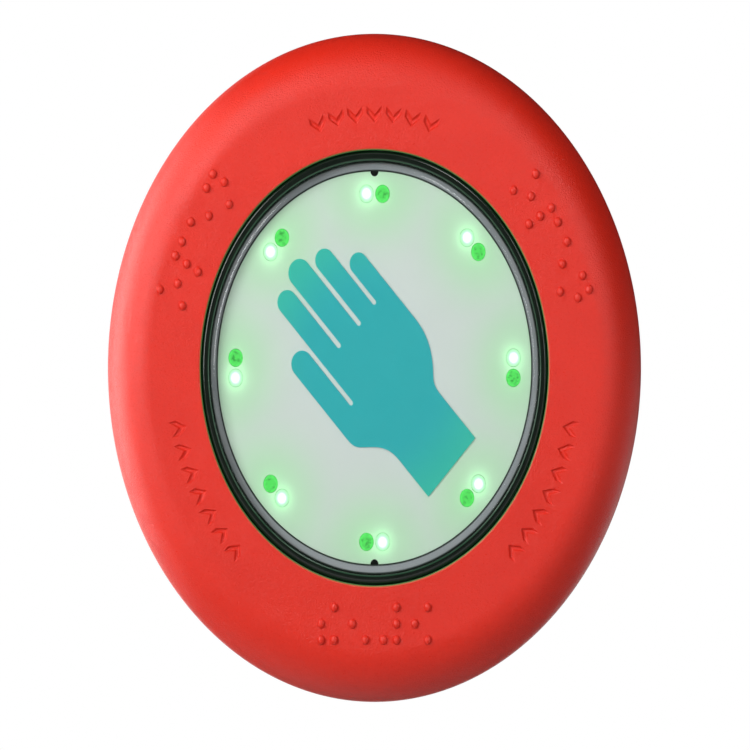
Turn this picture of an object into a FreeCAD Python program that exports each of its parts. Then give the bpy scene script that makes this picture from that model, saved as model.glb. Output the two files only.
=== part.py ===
import FreeCAD, Part
import math
import os
import re

import Sketcher

# A pedestrian push button for a panel or a pole box: an oval housing ring with a shallow
# pot behind it, and an illuminated cap that is pressed in against four springs.
#
# Frame: the origin is the centre of the rear face of the panel gasket. X runs to the
# right, Z runs up, and the button faces -Y. "out" is a distance in front of the panel
# plane, so a point at "out" lies at Y = -out, and a negative "out" is behind the panel.
#
# Every large outline is an upright ellipse. It is given by its half height; its half
# width is the half height times width_ratio.

SIZES = (
    # housing ring
    ("width_ratio", 0.798, "width of every oval divided by its height"),
    ("ring_half", 51.5, "half height of the housing ring"),
    ("ring_front", 18, "front face of the ring"),
    ("shoulder", 8.5, "height of the ring's rounded shoulder"),
    ("mouth_half", 33.45, "half height of the opening that the cap moves in"),
    ("mouth_edge", 0.4, "edge radius of that opening"),
    ("cavity_half", 36, "half height of the space behind the opening"),
    ("stop_face", 10.3, "rear of the opening's lip, where the cap stops"),
    ("channel_inner", 38.4, "inner half height of the hollow in the ring"),
    ("channel_outer", 48.5, "outer half height of the hollow in the ring"),
    ("channel_upper", 45.5, "outer half height of the hollow under the shoulder"),
    ("channel_step", 10.5, "where the hollow narrows"),
    ("channel_front", 14.8, "front end of the hollow"),
    ("seal_rear", 13, "rear face of the wiper seal's groove"),
    ("seal_front", 15, "front face of the wiper seal's groove"),
    ("seal_groove_half", 35, "half height of the wiper seal's groove"),
    ("seal_lip_half", 33.25, "half height of the wiper seal's lip"),
    ("seal_back", 0.3, "how far the seal's back stands clear of the opening"),
    ("seal_lip_thick", 0.7, "thickness of the seal's lip"),
    # fixing to the panel
    ("gasket_thick", 1, "thickness of the panel gasket"),
    ("gasket_outer", 51, "outer half height of the gasket"),
    ("gasket_inner", 40.3, "inner half height of the gasket"),
    ("gasket_hole", 2.5, "radius of the gasket's fixing holes"),
    ("fixing_across", 26, "fixing holes, distance from the centre across"),
    ("fixing_up", 32.5, "fixing holes, distance from the centre up"),
    ("fixing_boss", 4.5, "radius of a fixing boss"),
    ("insert_radius", 3, "radius of a threaded insert"),
    ("insert_bore", 1.65, "bore of a threaded insert, the M4 minor diameter"),
    ("insert_long", 8, "length of a threaded insert"),
    ("insert_groove", 0.4, "depth of the groove between an insert's knurled bands"),
    ("insert_groove_half", 0.6, "half width of that groove"),
    ("bolt_room", 2.1, "radius of the room for the end of a fixing screw"),
    ("bolt_room_long", 3.5, "length of that room"),
    # clearances used in several places
    ("play", 0.2, "loose clearance beside a boss"),
    ("fit_gap", 0.05, "gap round a piece that sits in a recess"),
    ("pilot_spare", 0.5, "depth of a pilot hole past the end of its screw"),
    ("ease", 0.4, "easing of small turned edges"),
    ("lap", 0.5, "overlap of two pieces of one moulding"),
    # tactile signs on the ring
    ("sign_circle", 39.3, "half height of the circle the signs lie on"),
    ("dot_pitch", 2.5, "spacing of the dots within a cell"),
    ("cell_pitch", 6, "spacing of the cells"),
    ("dot_base", 0.75, "radius of a dot at its base"),
    ("dot_high", 0.5, "height of a dot"),
    ("chevron_wide", 2.4, "width of a chevron"),
    ("chevron_high", 2, "height of a chevron"),
    ("chevron_stroke", 1.2, "stroke of a chevron, measured along its axis"),
    ("chevron_deep", 0.35, "depth of a chevron"),
    ("chevron_pitch", 5.4, "degrees from one chevron to the next"),
    # rear pot
    ("flange_front", 3.5, "front face of the pot's flange"),
    ("flange_half", 48.3, "half height of the pot's flange"),
    ("pot_half", 40, "half height of the pot"),
    ("pot_wall", 2.4, "wall of the pot"),
    ("pot_deep", 23, "depth of the pot behind the panel plane"),
    ("pot_floor", 2.5, "thickness of the pot's floor"),
    ("pot_edge", 1.5, "radius of the pot's rear edge"),
    ("lip_half", 33, "half height of the hole in the pot's lip"),
    ("oring_half", 37.2, "half height of the housing O-ring"),
    ("oring_wire", 0.5, "radius of the O-ring's section"),
    ("oring_groove", 0.65, "half of the O-ring groove's width, top and bottom"),
    ("oring_sink", 0.02, "how far the O-ring lies below the flange's face"),
    ("oring_floor", 0.03, "clearance under the O-ring"),
    ("screw_half", 43.4, "half height of the oval the housing screws lie on"),
    ("screw_boss", 3.5, "radius of a housing screw's boss"),
    ("screw_core", 1.25, "core radius of the self-tapping screws"),
    ("screw_clear", 1.6, "radius of a self-tapping screw's clearance hole"),
    ("sunk_head", 2.75, "radius of a countersunk head"),
    ("sunk_high", 1.6, "height of a countersunk head"),
    ("pan_head", 2.7, "radius of a pan head"),
    ("pan_high", 1.6, "height of a pan head"),
    ("pan_rim", 0.5, "distance from a pan head's seat to its crown"),
    ("pan_crown", 0.6, "taper of a pan head's crown"),
    ("drive_reach", 2.6, "length of a cross recess"),
    ("drive_width", 0.55, "width of a cross recess"),
    ("drive_deep", 0.95, "depth of a cross recess"),
    ("point_long", 1.2, "length of a screw's point"),
    ("point_tip", 0.3, "radius of a screw's tip"),
    ("housing_screw_long", 11.5, "length of a housing screw"),
    ("board_screw_long", 8.5, "length of a board screw"),
    # guides and springs of the cap
    ("post_across", 12.5, "guide posts, distance from the centre across"),
    ("post_up", 12, "guide posts, distance from the centre up"),
    ("post_radius", 2.5, "radius of a guide post"),
    ("post_end", -6, "free end of a guide post"),
    ("bush_bore", 2.55, "bore of a guide bush"),
    ("bush_radius", 3.5, "outer radius of a guide bush"),
    ("bush_long", 12, "length of a guide bush"),
    ("tower_radius", 4.7, "radius of a guide tower"),
    ("tower_front", 3, "front end of a guide tower"),
    ("post_room", 0.3, "clearance round a guide post behind its bush"),
    ("post_room_long", 8, "depth of that clearance"),
    ("spring_mean", 3.3, "mean radius of a return spring"),
    ("spring_wire", 0.35, "radius of the spring wire"),
    ("spring_turns", 5, "turns of a return spring"),
    ("spring_gap", 0.02, "gap at each end of a return spring"),
    ("stop_circle", 34.2, "half height of the oval the bump stops lie on"),
    ("stop_radius", 1.3, "radius of a bump stop"),
    ("stop_front", 6.95, "front end of a bump stop"),
    # board and lamps
    ("board_half", 32.4, "half height of the lamp board"),
    ("board_thick", 1.6, "thickness of the lamp board"),
    ("board_boss_across", 9.3, "board screws, distance from the centre across"),
    ("board_boss_up", 28.2, "board screws, distance from the centre up"),
    ("board_boss", 3.2, "radius of a board boss"),
    ("board_boss_rear", -4.5, "rear end of a board boss"),
    ("web_thick", 1.6, "thickness of the web that joins a board boss to the pot"),
    ("web_end", 37, "half height where a web ends"),
    ("board_eye", 4.5, "radius of the board's centre hole"),
    ("spring_hole", 4.2, "radius of the board's spring holes"),
    ("lamp_circle", 26.8, "half height of the oval the lamps lie on"),
    ("lamp_pair", 3.31, "half of the angle between the two lamps of a pair"),
    ("lamp_radius", 0.95, "radius of a lamp"),
    ("lamp_foot", 1.15, "radius of a lamp's foot"),
    ("lamp_foot_high", 0.8, "height of a lamp's foot"),
    ("lamp_high", 5.3, "height of a lamp above the board"),
    ("resistor_circle", 24, "half height of the oval the resistors lie on"),
    ("resistor_wide", 1.6, "width of a resistor"),
    ("resistor_long", 3.2, "length of a resistor"),
    ("resistor_high", 0.6, "height of a resistor"),
    ("driver_up", 14, "centre of the lamp driver, up"),
    ("driver_long", 5, "length of the lamp driver's case"),
    ("driver_wide", 4, "width of the lamp driver's case"),
    ("driver_foot", 0.2, "gap under the lamp driver's case"),
    ("driver_high", 1.7, "top of the lamp driver's case above the board"),
    ("leg_pitch", 1.27, "spacing of the driver's legs"),
    ("leg_wide", 0.45, "width of a driver's leg"),
    ("leg_long", 1, "length of a driver's leg"),
    ("leg_high", 0.7, "height of a driver's leg above the board"),
    ("leg_row", 2.4, "distance of a row of legs from the driver's centre"),
    # cap
    ("travel", 1.5, "travel of the cap"),
    ("cap_half", 33.15, "outer half height of the cap's frame"),
    ("cap_flange_half", 35.2, "half height of the cap's retaining flange"),
    ("cap_rear", 8.5, "rear face of the cap's frame"),
    ("cap_flange_front", 10.2, "front face of the retaining flange"),
    ("cap_land", 17.7, "front face of the cap's frame"),
    ("cap_bore", 31.45, "half height inside the cap's frame"),
    ("ledge_half", 30.35, "half height inside the ledge that holds the window"),
    ("ledge_rear", 14.3, "rear face of that ledge"),
    ("plate_front", 15.65, "front face of the symbol plate and of the ledge"),
    ("plate_half", 30.2, "half height of the symbol plate"),
    ("notch", 0.77, "half height of the locating notches in the plate's edge"),
    ("print_thick", 0.15, "thickness of the printed layer"),
    ("window_half", 31.7, "half height of the window"),
    ("window_front", 18.6, "front face of the window"),
    ("window_edge", 1.25, "edge radius of the window"),
    ("window_seat", 31.85, "half height of the recess that holds the window"),
    ("carrier_half", 31.3, "half height of the carrier disc"),
    ("carrier_rear", 12.1, "rear face of the carrier disc"),
    ("carrier_front", 13.9, "front face of the carrier disc"),
    ("bead_half", 31.7, "half height of the carrier's snap bead"),
    ("bead_rear", 12.8, "rear of the snap bead"),
    ("bead_front", 13.3, "front of the snap bead"),
    ("bead_gap", 0.1, "clearance behind and in front of the snap bead"),
    ("stem_radius", 3, "radius of the stem that presses the switch"),
    ("stem_end", 5.25, "free end of that stem"),
    ("pipe_half", 1.36, "half height of a light pipe"),
    ("pipe_hole", 1.42, "half height of a light pipe's hole"),
    ("pipe_rear", 12.3, "rear end of a light pipe"),
    # hand symbol, along and across the fingers, from the button's centre
    ("thumb_low", -11.5, "thumb, lower edge"),
    ("thumb_high", -7.4, "thumb, upper edge"),
    ("thumb_tip", 10.3, "thumb, centre of the tip's round"),
    ("thumb_web", -1, "end of the gap beside the thumb"),
    ("index_low", -6.65, "index finger, lower edge"),
    ("index_high", -2.85, "index finger, upper edge"),
    ("index_tip", 19, "index finger, centre of the tip's round"),
    ("index_web", 6.9, "end of the gap beside the index finger"),
    ("middle_low", -2.05, "middle finger, lower edge"),
    ("middle_high", 2.3, "middle finger, upper edge"),
    ("middle_tip", 20.5, "middle finger, centre of the tip's round"),
    ("middle_web", 6.6, "end of the gap beside the middle finger"),
    ("third_low", 3.1, "ring finger, lower edge"),
    ("third_high", 6.7, "ring finger, upper edge"),
    ("third_tip", 18.5, "ring finger, centre of the tip's round"),
    ("third_web", 6.8, "end of the gap beside the ring finger"),
    ("little_low", 7.45, "little finger, lower edge"),
    ("little_high", 10.9, "little finger, upper edge"),
    ("little_tip", 13.5, "little finger, centre of the tip's round"),
    ("wrist_low", -6.67, "wrist, lower edge"),
    ("wrist_high", 6.1, "wrist, upper edge"),
    ("wrist_end", -21.36, "where the wrist is cut off"),
    ("palm_back", 0, "where the back of the palm begins to curve in"),
    ("palm_heel", -12, "where the back of the palm meets the wrist"),
    ("palm_ball", -13.5, "where the ball of the thumb meets the wrist"),
    ("thumb_root", -4, "where the ball of the thumb meets the thumb"),
    # switch
    ("switch_thick", 10.3, "thickness of the switch"),
    ("switch_long", 27.8, "length of the switch"),
    ("switch_deep", 15.9, "depth of the switch"),
    ("switch_front", 3.4, "front face of the switch"),
    ("switch_below", 8.4, "distance from the plunger to the switch's lower end"),
    ("switch_hole_span", 22.2, "mounting holes, spacing along the switch"),
    ("switch_hole_drop", 10.3, "mounting holes, spacing across the switch"),
    ("switch_hole_inset", 2.8, "distance of a mounting hole from the case's edges"),
    ("switch_hole", 1.55, "radius of a mounting hole"),
    ("switch_ease", 0.5, "chamfer of the case's long edges"),
    ("seam_across", 2, "distance of the case's seams from its middle plane"),
    ("seam_size", 0.3, "width and depth of a seam"),
    ("switch_screw", 1.5, "radius of a switch screw"),
    ("switch_screw_long", 12, "length of a switch screw"),
    ("rib_thick", 3, "thickness of the rib that carries the switch"),
    ("plunger_radius", 1.5, "radius of the switch plunger"),
    ("plunger_front", 5.2, "front end of the switch plunger"),
    ("plunger_rear", -1, "rear end of the switch plunger"),
    ("plunger_hole", 1.58, "radius of the plunger's guide in the switch"),
    ("tab_thick", 0.8, "thickness of a switch terminal"),
    ("tab_wide", 4.8, "width of a switch terminal"),
    ("tab_long", 6.5, "length of a switch terminal"),
    ("tab_pitch", 10.5, "spacing of the switch terminals"),
    ("tab_first", -5, "centre of the lowest switch terminal, up"),
    ("tab_eye", 0.8, "radius of the eye in a switch terminal"),
    ("tab_eye_inset", 2, "distance of the eye from the terminal's end"),
    ("lead_radius", 0.6, "radius of a switch lead"),
    ("lead_bend", 2, "bend radius of a switch lead"),
    ("lead_across", 1, "distance of a lead from the switch's middle plane"),
    ("lead_top_left", -3.5, "upper end of the left lead"),
    ("lead_top_right", 7, "upper end of the right lead"),
    ("lead_rear", -16.5, "where the leads run behind the switch"),
    ("lead_low", -12.5, "where the leads run forward to the board"),
    # terminal block
    ("block_wide", 15.24, "width of the terminal block"),
    ("block_high", 8, "height of the terminal block"),
    ("block_up", -20.5, "centre of the terminal block, up"),
    ("block_rear", -6.5, "rear face of the terminal block"),
    ("pole_pitch", 5.08, "spacing of the terminals"),
    ("pole_rise", 0.8, "distance of the terminal screws above the block's centre"),
    ("well_radius", 2, "radius of the well of a terminal screw"),
    ("well_deep", 4, "depth of that well"),
    ("pole_head", 1.9, "radius of a terminal screw"),
    ("pole_sunk", 0.4, "depth of a terminal screw's head in its well"),
    ("slot_long", 3, "length of a terminal screw's slot"),
    ("slot_wide", 0.6, "width of a terminal screw's slot"),
    ("slot_deep", 0.9, "depth of a terminal screw's slot"),
    ("wire_wide", 3.2, "width of a wire's opening"),
    ("wire_high", 3.5, "height of a wire's opening from the block's lower face"),
    ("wire_rear", 4.4, "rear of a wire's opening from the block's rear face"),
    ("wire_front", 8, "front of a wire's opening from the block's rear face"),
    # cable gland
    ("gland_up", -24, "centre of the cable gland, up"),
    ("gland_thread", 8, "radius of the gland's thread"),
    ("gland_flats", 20, "size across the gland's flats"),
    ("gland_bore", 5, "bore of the gland's body"),
    ("gland_washer", 1.5, "thickness of the gland's washer"),
    ("gland_hex", 5, "thickness of the gland's hexagon"),
    ("gland_locknut", 4, "thickness of the gland's locknut"),
    ("gland_sleeve", 9, "length of the gland's rear sleeve"),
    ("gland_seal_radius", 5.55, "outer radius of the gland's seal"),
    ("gland_seat", 5.6, "bore of the gland's rear sleeve"),
    ("gland_seat_end", 0.4, "distance of that bore's end behind the hexagon"),
    ("gland_hole_gap", 0.1, "clearance round the gland's thread in the pot's floor"),
    ("gland_thread_end", 1, "length of the thread past the locknut"),
    ("gland_seal_long", 9, "length of the thick part of the gland's seal"),
    ("gland_collar", 4.9, "outer radius of the seal's thin ends"),
    ("gland_collar_front", 1.5, "length of the seal's thin end inside the body"),
    ("gland_collar_rear", 3.2, "length of the seal's thin end inside the nut's mouth"),
    ("gland_nut_long", 13, "length of the gland's cap nut"),
    ("gland_nut_gap", 0.2, "gap between the cap nut and the hexagon"),
    ("gland_nut_end", 2.5, "thickness of the cap nut's end wall"),
    ("nut_flats_end", 7, "distance of the flats' end from the nut's rear end"),
    ("nut_waist", 5, "distance of the dome's first bend from the rear end"),
    ("nut_bend", 2.2, "distance of the dome's second bend from the rear end"),
    ("nut_taper", 1.4, "drop of the nut's corners at the first bend"),
    ("nut_shoulder", 1, "drop of the nut's flats at the second bend"),
    ("nut_rim", 2.2, "width of the nut's flat rear rim"),
    ("cable_radius", 3.5, "radius of the cable the seal is made for"),
)

# the hand's two curved edges, along and across the fingers, between their end points
HAND_BACK = ((-4, 10.3), (-6.2, 9.25), (-8.6, 7.4))
HAND_BALL = ((-9.6, -7.8), (-6.8, -10.5))

BRAILLE_CELLS = ((1, 3, 5), (1, 2, 3, 4), (1, 5), (1, 3, 4, 5))
BRAILLE_CLOCKS = (60, 180, 300)
CHEVRON_CLOCKS = (0, 120, 240)
CHEVRON_STEPS = range(-3, 4)
LAMP_PAIRS = 8
SHOULDER_STEPS = 9

ALIASES = {alias for alias, _, _ in SIZES}
VECTOR = FreeCAD.Vector
FORWARD = FreeCAD.Rotation(VECTOR(1, 0, 0), 90)    # local z points out of the panel
BACKWARD = FreeCAD.Rotation(VECTOR(1, 0, 0), -90)  # local z points into the panel
SIDEWAYS = FreeCAD.Rotation(VECTOR(0, 1, 0), -90)  # local z points to the left
UPRIGHT = FORWARD * FreeCAD.Rotation(VECTOR(0, 0, 1), 90)  # local x points up
SIDES = (-1, 1)

doc = FreeCAD.newDocument("push_button")
sheet = doc.addObject("Spreadsheet::Sheet", "sizes")
subparts = []


# ---------------------------------------------------------------- helpers


def fill_sheet():
    for row, (alias, value, note) in enumerate(SIZES, start=1):
        sheet.set(f"A{row}", note)
        sheet.set(f"B{row}", str(value))
        sheet.setAlias(f"B{row}", alias)
    doc.recompute()


def size(alias):
    """A size as a number, for the shapes that are not bound to the sheet."""
    return float(sheet.get(alias))


def bind(thing, name, formula):
    """Bind a property to a formula in which the sheet's sizes are named directly."""
    def cell(word):
        return "sizes." + word.group() if word.group() in ALIASES else word.group()

    thing.setExpression(name, re.sub(r"[a-z][a-z_]*", cell, str(formula)))


def place(thing, across="0", out="0", up="0", turn=None):
    if turn is not None:
        thing.Placement = FreeCAD.Placement(VECTOR(), turn)
    bind(thing, "Placement.Base.x", across)
    bind(thing, "Placement.Base.y", f"-({out})")
    bind(thing, "Placement.Base.z", up)
    return thing


def ellipse(name, half, out, across="0", up="0"):
    outline = doc.addObject("Part::Ellipse", name)
    place(outline, across, out, up, UPRIGHT)
    bind(outline, "MajorRadius", half)
    bind(outline, "MinorRadius", f"({half}) * width_ratio")
    return outline


def oval(name, half, rear, front, across="0", up="0"):
    """A solid upright ellipse from one distance in front of the panel to another."""
    solid = doc.addObject("Part::Extrusion", name)
    solid.Base = ellipse(name + "_outline", half, rear, across, up)
    solid.DirMode = "Custom"
    solid.Dir = VECTOR(0, -1, 0)
    solid.Solid = True
    bind(solid, "LengthFwd", f"({front}) - ({rear})")
    return solid


def rod(name, radius, rear, front, across="0", up="0"):
    solid = doc.addObject("Part::Cylinder", name)
    bind(solid, "Radius", radius)
    bind(solid, "Height", f"({front}) - ({rear})")
    return place(solid, across, rear, up, FORWARD)


def cone(name, rear_radius, front_radius, rear, front, across="0", up="0"):
    solid = doc.addObject("Part::Cone", name)
    bind(solid, "Radius1", rear_radius)
    bind(solid, "Radius2", front_radius)
    bind(solid, "Height", f"({front}) - ({rear})")
    return place(solid, across, rear, up, FORWARD)


def hexagon(name, flats, rear, front, across="0", up="0"):
    solid = doc.addObject("Part::Prism", name)
    solid.Polygon = 6
    bind(solid, "Circumradius", f"({flats}) / sqrt(3)")
    bind(solid, "Height", f"({front}) - ({rear})")
    return place(solid, across, rear, up, FORWARD)


def block(name, wide, high, rear, front, across="0", up="0"):
    """A box centred across and up."""
    solid = doc.addObject("Part::Box", name)
    bind(solid, "Length", wide)
    bind(solid, "Width", f"({front}) - ({rear})")
    bind(solid, "Height", high)
    return place(solid, f"({across}) - ({wide}) / 2", front, f"({up}) - ({high}) / 2")


def cross_rod(name, radius, left, right, out, up):
    """A rod that lies across, from left to right."""
    solid = doc.addObject("Part::Cylinder", name)
    bind(solid, "Radius", radius)
    bind(solid, "Height", f"({right}) - ({left})")
    return place(solid, right, out, up, SIDEWAYS)


def fuse(name, solids):
    result = doc.addObject("Part::MultiFuse", name)
    result.Shapes = solids
    return result


def common(name, solids):
    result = doc.addObject("Part::MultiCommon", name)
    result.Shapes = solids
    return result


def cut(name, base, tools):
    result = doc.addObject("Part::Cut", name)
    result.Base = base
    result.Tool = tools[0] if len(tools) == 1 else fuse(name + "_tools", tools)
    return result


def group(name, solids):
    result = doc.addObject("Part::Compound", name)
    result.Links = solids
    return result


def ring(name, outer, inner, rear, front):
    hole = oval(name + "_hole", inner, f"({rear}) - 1", f"({front}) + 1")
    return cut(name, oval(name + "_body", outer, rear, front), [hole])


def tube(name, outer, inner, rear, front, across="0", up="0"):
    hole = rod(name + "_hole", inner, f"({rear}) - 1", f"({front}) + 1", across, up)
    return cut(name, rod(name + "_body", outer, rear, front, across, up), [hole])


def round_edges(name, base, radius, out, low, high):
    """Round the edges that lie at one distance out, of a half height from low to high."""
    doc.recompute()
    chosen = []
    for number, edge in enumerate(base.Shape.Edges, start=1):
        box = edge.BoundBox
        level = abs(box.YMin + out) < 1e-4 and abs(box.YMax + out) < 1e-4
        if level and low < box.ZLength / 2 < high:
            chosen.append((number, size(radius), size(radius)))
    if not chosen:
        raise RuntimeError(f"{name}: no edge to round")
    result = doc.addObject("Part::Fillet", name)
    result.Base = base
    result.Edges = chosen
    return result


def outline_sketch(body, plane, points):
    """A closed sketch whose corners are bound to the sheet; points are pairs of formulas."""
    doc.recompute()
    sketch = body.newObject("Sketcher::SketchObject", body.Name + "_outline")
    origin = next(item for item in body.Origin.OriginFeatures if item.Role == plane)
    sketch.AttachmentSupport = [(origin, "")]
    sketch.MapMode = "FlatFace"
    probe = doc.addObject("App::FeaturePython", "probe")
    probe.addProperty("App::PropertyFloat", "Value")
    corners = []
    for pair in points:
        values = []
        for formula in pair:
            bind(probe, "Value", formula)
            doc.recompute()
            values.append(probe.Value)
        corners.append(VECTOR(values[0], values[1], 0))
    doc.removeObject(probe.Name)
    count = len(corners)
    for index, corner in enumerate(corners):
        sketch.addGeometry(Part.LineSegment(corner, corners[(index + 1) % count]), False)
    for index in range(count):
        sketch.addConstraint(Sketcher.Constraint("Coincident", index, 2, (index + 1) % count, 1))
    for index, pair in enumerate(points):
        for kind, formula, value in zip(("DistanceX", "DistanceY"), pair, corners[index]):
            number = sketch.addConstraint(Sketcher.Constraint(kind, -1, 1, index, 1, value))
            bind(sketch, f"Constraints[{number}]", formula)
    return sketch


def turned(name, points):
    """A solid turned about local z from a closed half outline of (radius, height) pairs."""
    body = doc.addObject("PartDesign::Body", name)
    sketch = outline_sketch(body, "XZ_Plane", points)
    feature = body.newObject("PartDesign::Revolution", name + "_turn")
    feature.Profile = sketch
    feature.ReferenceAxis = (sketch, ["V_Axis"])
    feature.Angle = 360
    return body


def plate(name, points, thick):
    """A solid padded along local z from a closed outline of (x, y) pairs."""
    body = doc.addObject("PartDesign::Body", name)
    feature = body.newObject("PartDesign::Pad", name + "_pad")
    feature.Profile = outline_sketch(body, "XY_Plane", points)
    bind(feature, "Length", thick)
    body.Tip = feature
    return body


def copies(name, pattern, places, turn):
    """The same piece at several places, as one group of separate solids."""
    links = []
    for number, (across, out, up) in enumerate(places, start=1):
        link = doc.addObject("App::Link", f"{name}_{number}")
        link.LinkedObject = pattern
        links.append(place(link, across, out, up, turn))
    return group(name, links)


def subpart(node, thing):
    """Name a finished piece; its label is the name of its file."""
    thing.Label = node
    subparts.append(thing)
    return thing


def corners_of(across, up):
    """Four places, one in each quarter."""
    return [(f"{i} * {across}", f"{j} * {up}") for i in SIDES for j in SIDES]


def around(half, angle):
    """A place on an oval at a clock angle, as formulas across and up."""
    return f"{half} * sin({angle}) * width_ratio", f"{half} * cos({angle})"


def housing_screw_places():
    """Top, right, bottom and left."""
    return [around("screw_half", quarter * 90) for quarter in range(4)]


def lamp_places(side):
    """Eight places, one in each pair: side is -1 for the first clockwise, 1 for the second."""
    return [around("lamp_circle", f"{turn * 360 / LAMP_PAIRS} + {side} * lamp_pair")
            for turn in range(LAMP_PAIRS)]


# ---------------------------------------------------------------- housing


def ring_envelope():
    """The ring's outer shape: an upright wall, then a shoulder that is a quarter round."""
    wall = oval("ring_wall", "ring_half", "gasket_thick", "ring_front - shoulder")
    sections = []
    for step in range(SHOULDER_STEPS + 1):
        angle = 90 * step / SHOULDER_STEPS
        half = f"ring_half - shoulder * (1 - cos({angle}))"
        out = f"ring_front - shoulder * (1 - sin({angle}))"
        sections.append(ellipse(f"shoulder_section_{step}", half, out))
    shoulder = doc.addObject("Part::Loft", "ring_shoulder")
    shoulder.Sections = sections
    shoulder.Solid = True
    return fuse("ring_envelope", [wall, shoulder])


def ring_hollow():
    """The space inside the ring, which leaves the bosses standing."""
    spaces = [
        oval("flange_recess", "channel_outer", "0", "flange_front"),
        ring("channel_low", "channel_outer", "channel_inner", "flange_front - 1", "channel_step"),
        ring("channel_high", "channel_upper", "channel_inner", "channel_step - 1", "channel_front"),
    ]
    bosses = []
    for across, up in corners_of("fixing_across", "fixing_up"):
        bosses.append(rod("fixing_boss", "fixing_boss", "-1", "ring_front", across, up))
    for across, up in housing_screw_places():
        bosses.append(rod("screw_boss", "screw_boss", "flange_front", "ring_front", across, up))
    return cut("ring_hollow", fuse("ring_spaces", spaces), bosses)


def ring_holes():
    holes = []
    insert_end = "gasket_thick + insert_long"
    for across, up in corners_of("fixing_across", "fixing_up"):
        holes.append(rod("insert_pocket", "insert_radius", "0", insert_end, across, up))
        room_end = f"{insert_end} + bolt_room_long"
        holes.append(rod("bolt_room", "bolt_room", insert_end, room_end, across, up))
    screw_end = "gasket_thick + housing_screw_long + pilot_spare"
    for across, up in housing_screw_places():
        holes.append(rod("screw_pilot", "screw_core", "flange_front - 1", screw_end, across, up))
    return holes


def chevrons():
    """Three rows of sunk chevrons that point inwards, at the top and lower left and right."""
    tip = "0 - chevron_high / 2"
    outline = (
        ("0 - chevron_wide / 2", "chevron_high / 2 - chevron_stroke"),
        ("0", f"{tip} - chevron_stroke / 2"),
        ("chevron_wide / 2", "chevron_high / 2 - chevron_stroke"),
        ("chevron_wide / 2", "chevron_high / 2"),
        ("0", f"{tip} + chevron_stroke / 2"),
        ("0 - chevron_wide / 2", "chevron_high / 2"),
    )
    pattern = plate("chevron", outline, "chevron_deep + 1")
    links = []
    for clock in CHEVRON_CLOCKS:
        for number in CHEVRON_STEPS:
            link = doc.addObject("App::Link", "chevron_copy")
            link.LinkedObject = pattern
            angle = clock + number * size("chevron_pitch")
            across, up = around("sign_circle", f"{clock} + {number} * chevron_pitch")
            turn = FreeCAD.Rotation(VECTOR(0, 1, 0), angle) * FORWARD
            links.append(place(link, across, "ring_front - chevron_deep", up, turn))
    return group("chevrons", links)


def braille_dots():
    """The word for an open way, three times, read clockwise with its top outwards."""
    sphere = "(dot_base * dot_base + dot_high * dot_high) / (2 * dot_high)"
    dots = []
    middle = (len(BRAILLE_CELLS) - 1) / 2
    for clock in BRAILLE_CLOCKS:
        for cell, raised in enumerate(BRAILLE_CELLS):
            for dot in raised:
                column, row = divmod(dot - 1, 3)
                along = f"({cell - middle} * cell_pitch + {column - 0.5} * dot_pitch)"
                radial = f"(sign_circle + {1 - row} * dot_pitch)"
                across = f"({radial} * sin({clock}) + {along} * cos({clock})) * width_ratio"
                up = f"{radial} * cos({clock}) - {along} * sin({clock})"
                dome = doc.addObject("Part::Ellipsoid", "braille_dot")
                bind(dome, "Radius1", sphere)
                bind(dome, "Radius2", f"{sphere} * width_ratio")
                bind(dome, "Radius3", sphere)
                dots.append(place(dome, across, f"ring_front + dot_high - {sphere}", up))
    return dots


def make_housing_ring():
    mouth = oval("ring_mouth", "mouth_half", "0", "ring_front + 1")
    blank = cut("ring_blank", ring_envelope(), [mouth])
    low = size("mouth_half") - 1
    edged = round_edges("ring_edged", blank, "mouth_edge", size("ring_front"), low, low + 2)
    cavity = oval("ring_cavity", "cavity_half", "0", "stop_face")
    groove = oval("seal_groove", "seal_groove_half", "seal_rear", "seal_front")
    body = cut("ring_body", edged, [cavity, groove, ring_hollow()] + ring_holes())
    marked = cut("ring_marked", body, [chevrons()])
    subpart("housing_ring", fuse("housing_ring", [marked] + braille_dots()))


def make_panel_gasket():
    sheet_ring = ring("gasket_ring", "gasket_outer", "gasket_inner", "0", "gasket_thick")
    holes = []
    for across, up in corners_of("fixing_across", "fixing_up"):
        holes.append(rod("gasket_hole", "gasket_hole", "-1", "gasket_thick + 1", across, up))
    subpart("panel_gasket", cut("panel_gasket", sheet_ring, holes))


def make_threaded_inserts():
    """Brass bushes with two knurled bands and a groove between them."""
    groove_low = "insert_long / 2 - insert_groove_half"
    groove_high = "insert_long / 2 + insert_groove_half"
    outline = (
        ("insert_bore", "0"),
        ("insert_radius", "0"),
        ("insert_radius", groove_low),
        ("insert_radius - insert_groove", groove_low),
        ("insert_radius - insert_groove", groove_high),
        ("insert_radius", groove_high),
        ("insert_radius", "insert_long"),
        ("insert_bore", "insert_long"),
    )
    places = [(a, "gasket_thick", u) for a, u in corners_of("fixing_across", "fixing_up")]
    subpart("threaded_inserts", copies("threaded_inserts", turned("insert", outline), places, FORWARD))


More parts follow.
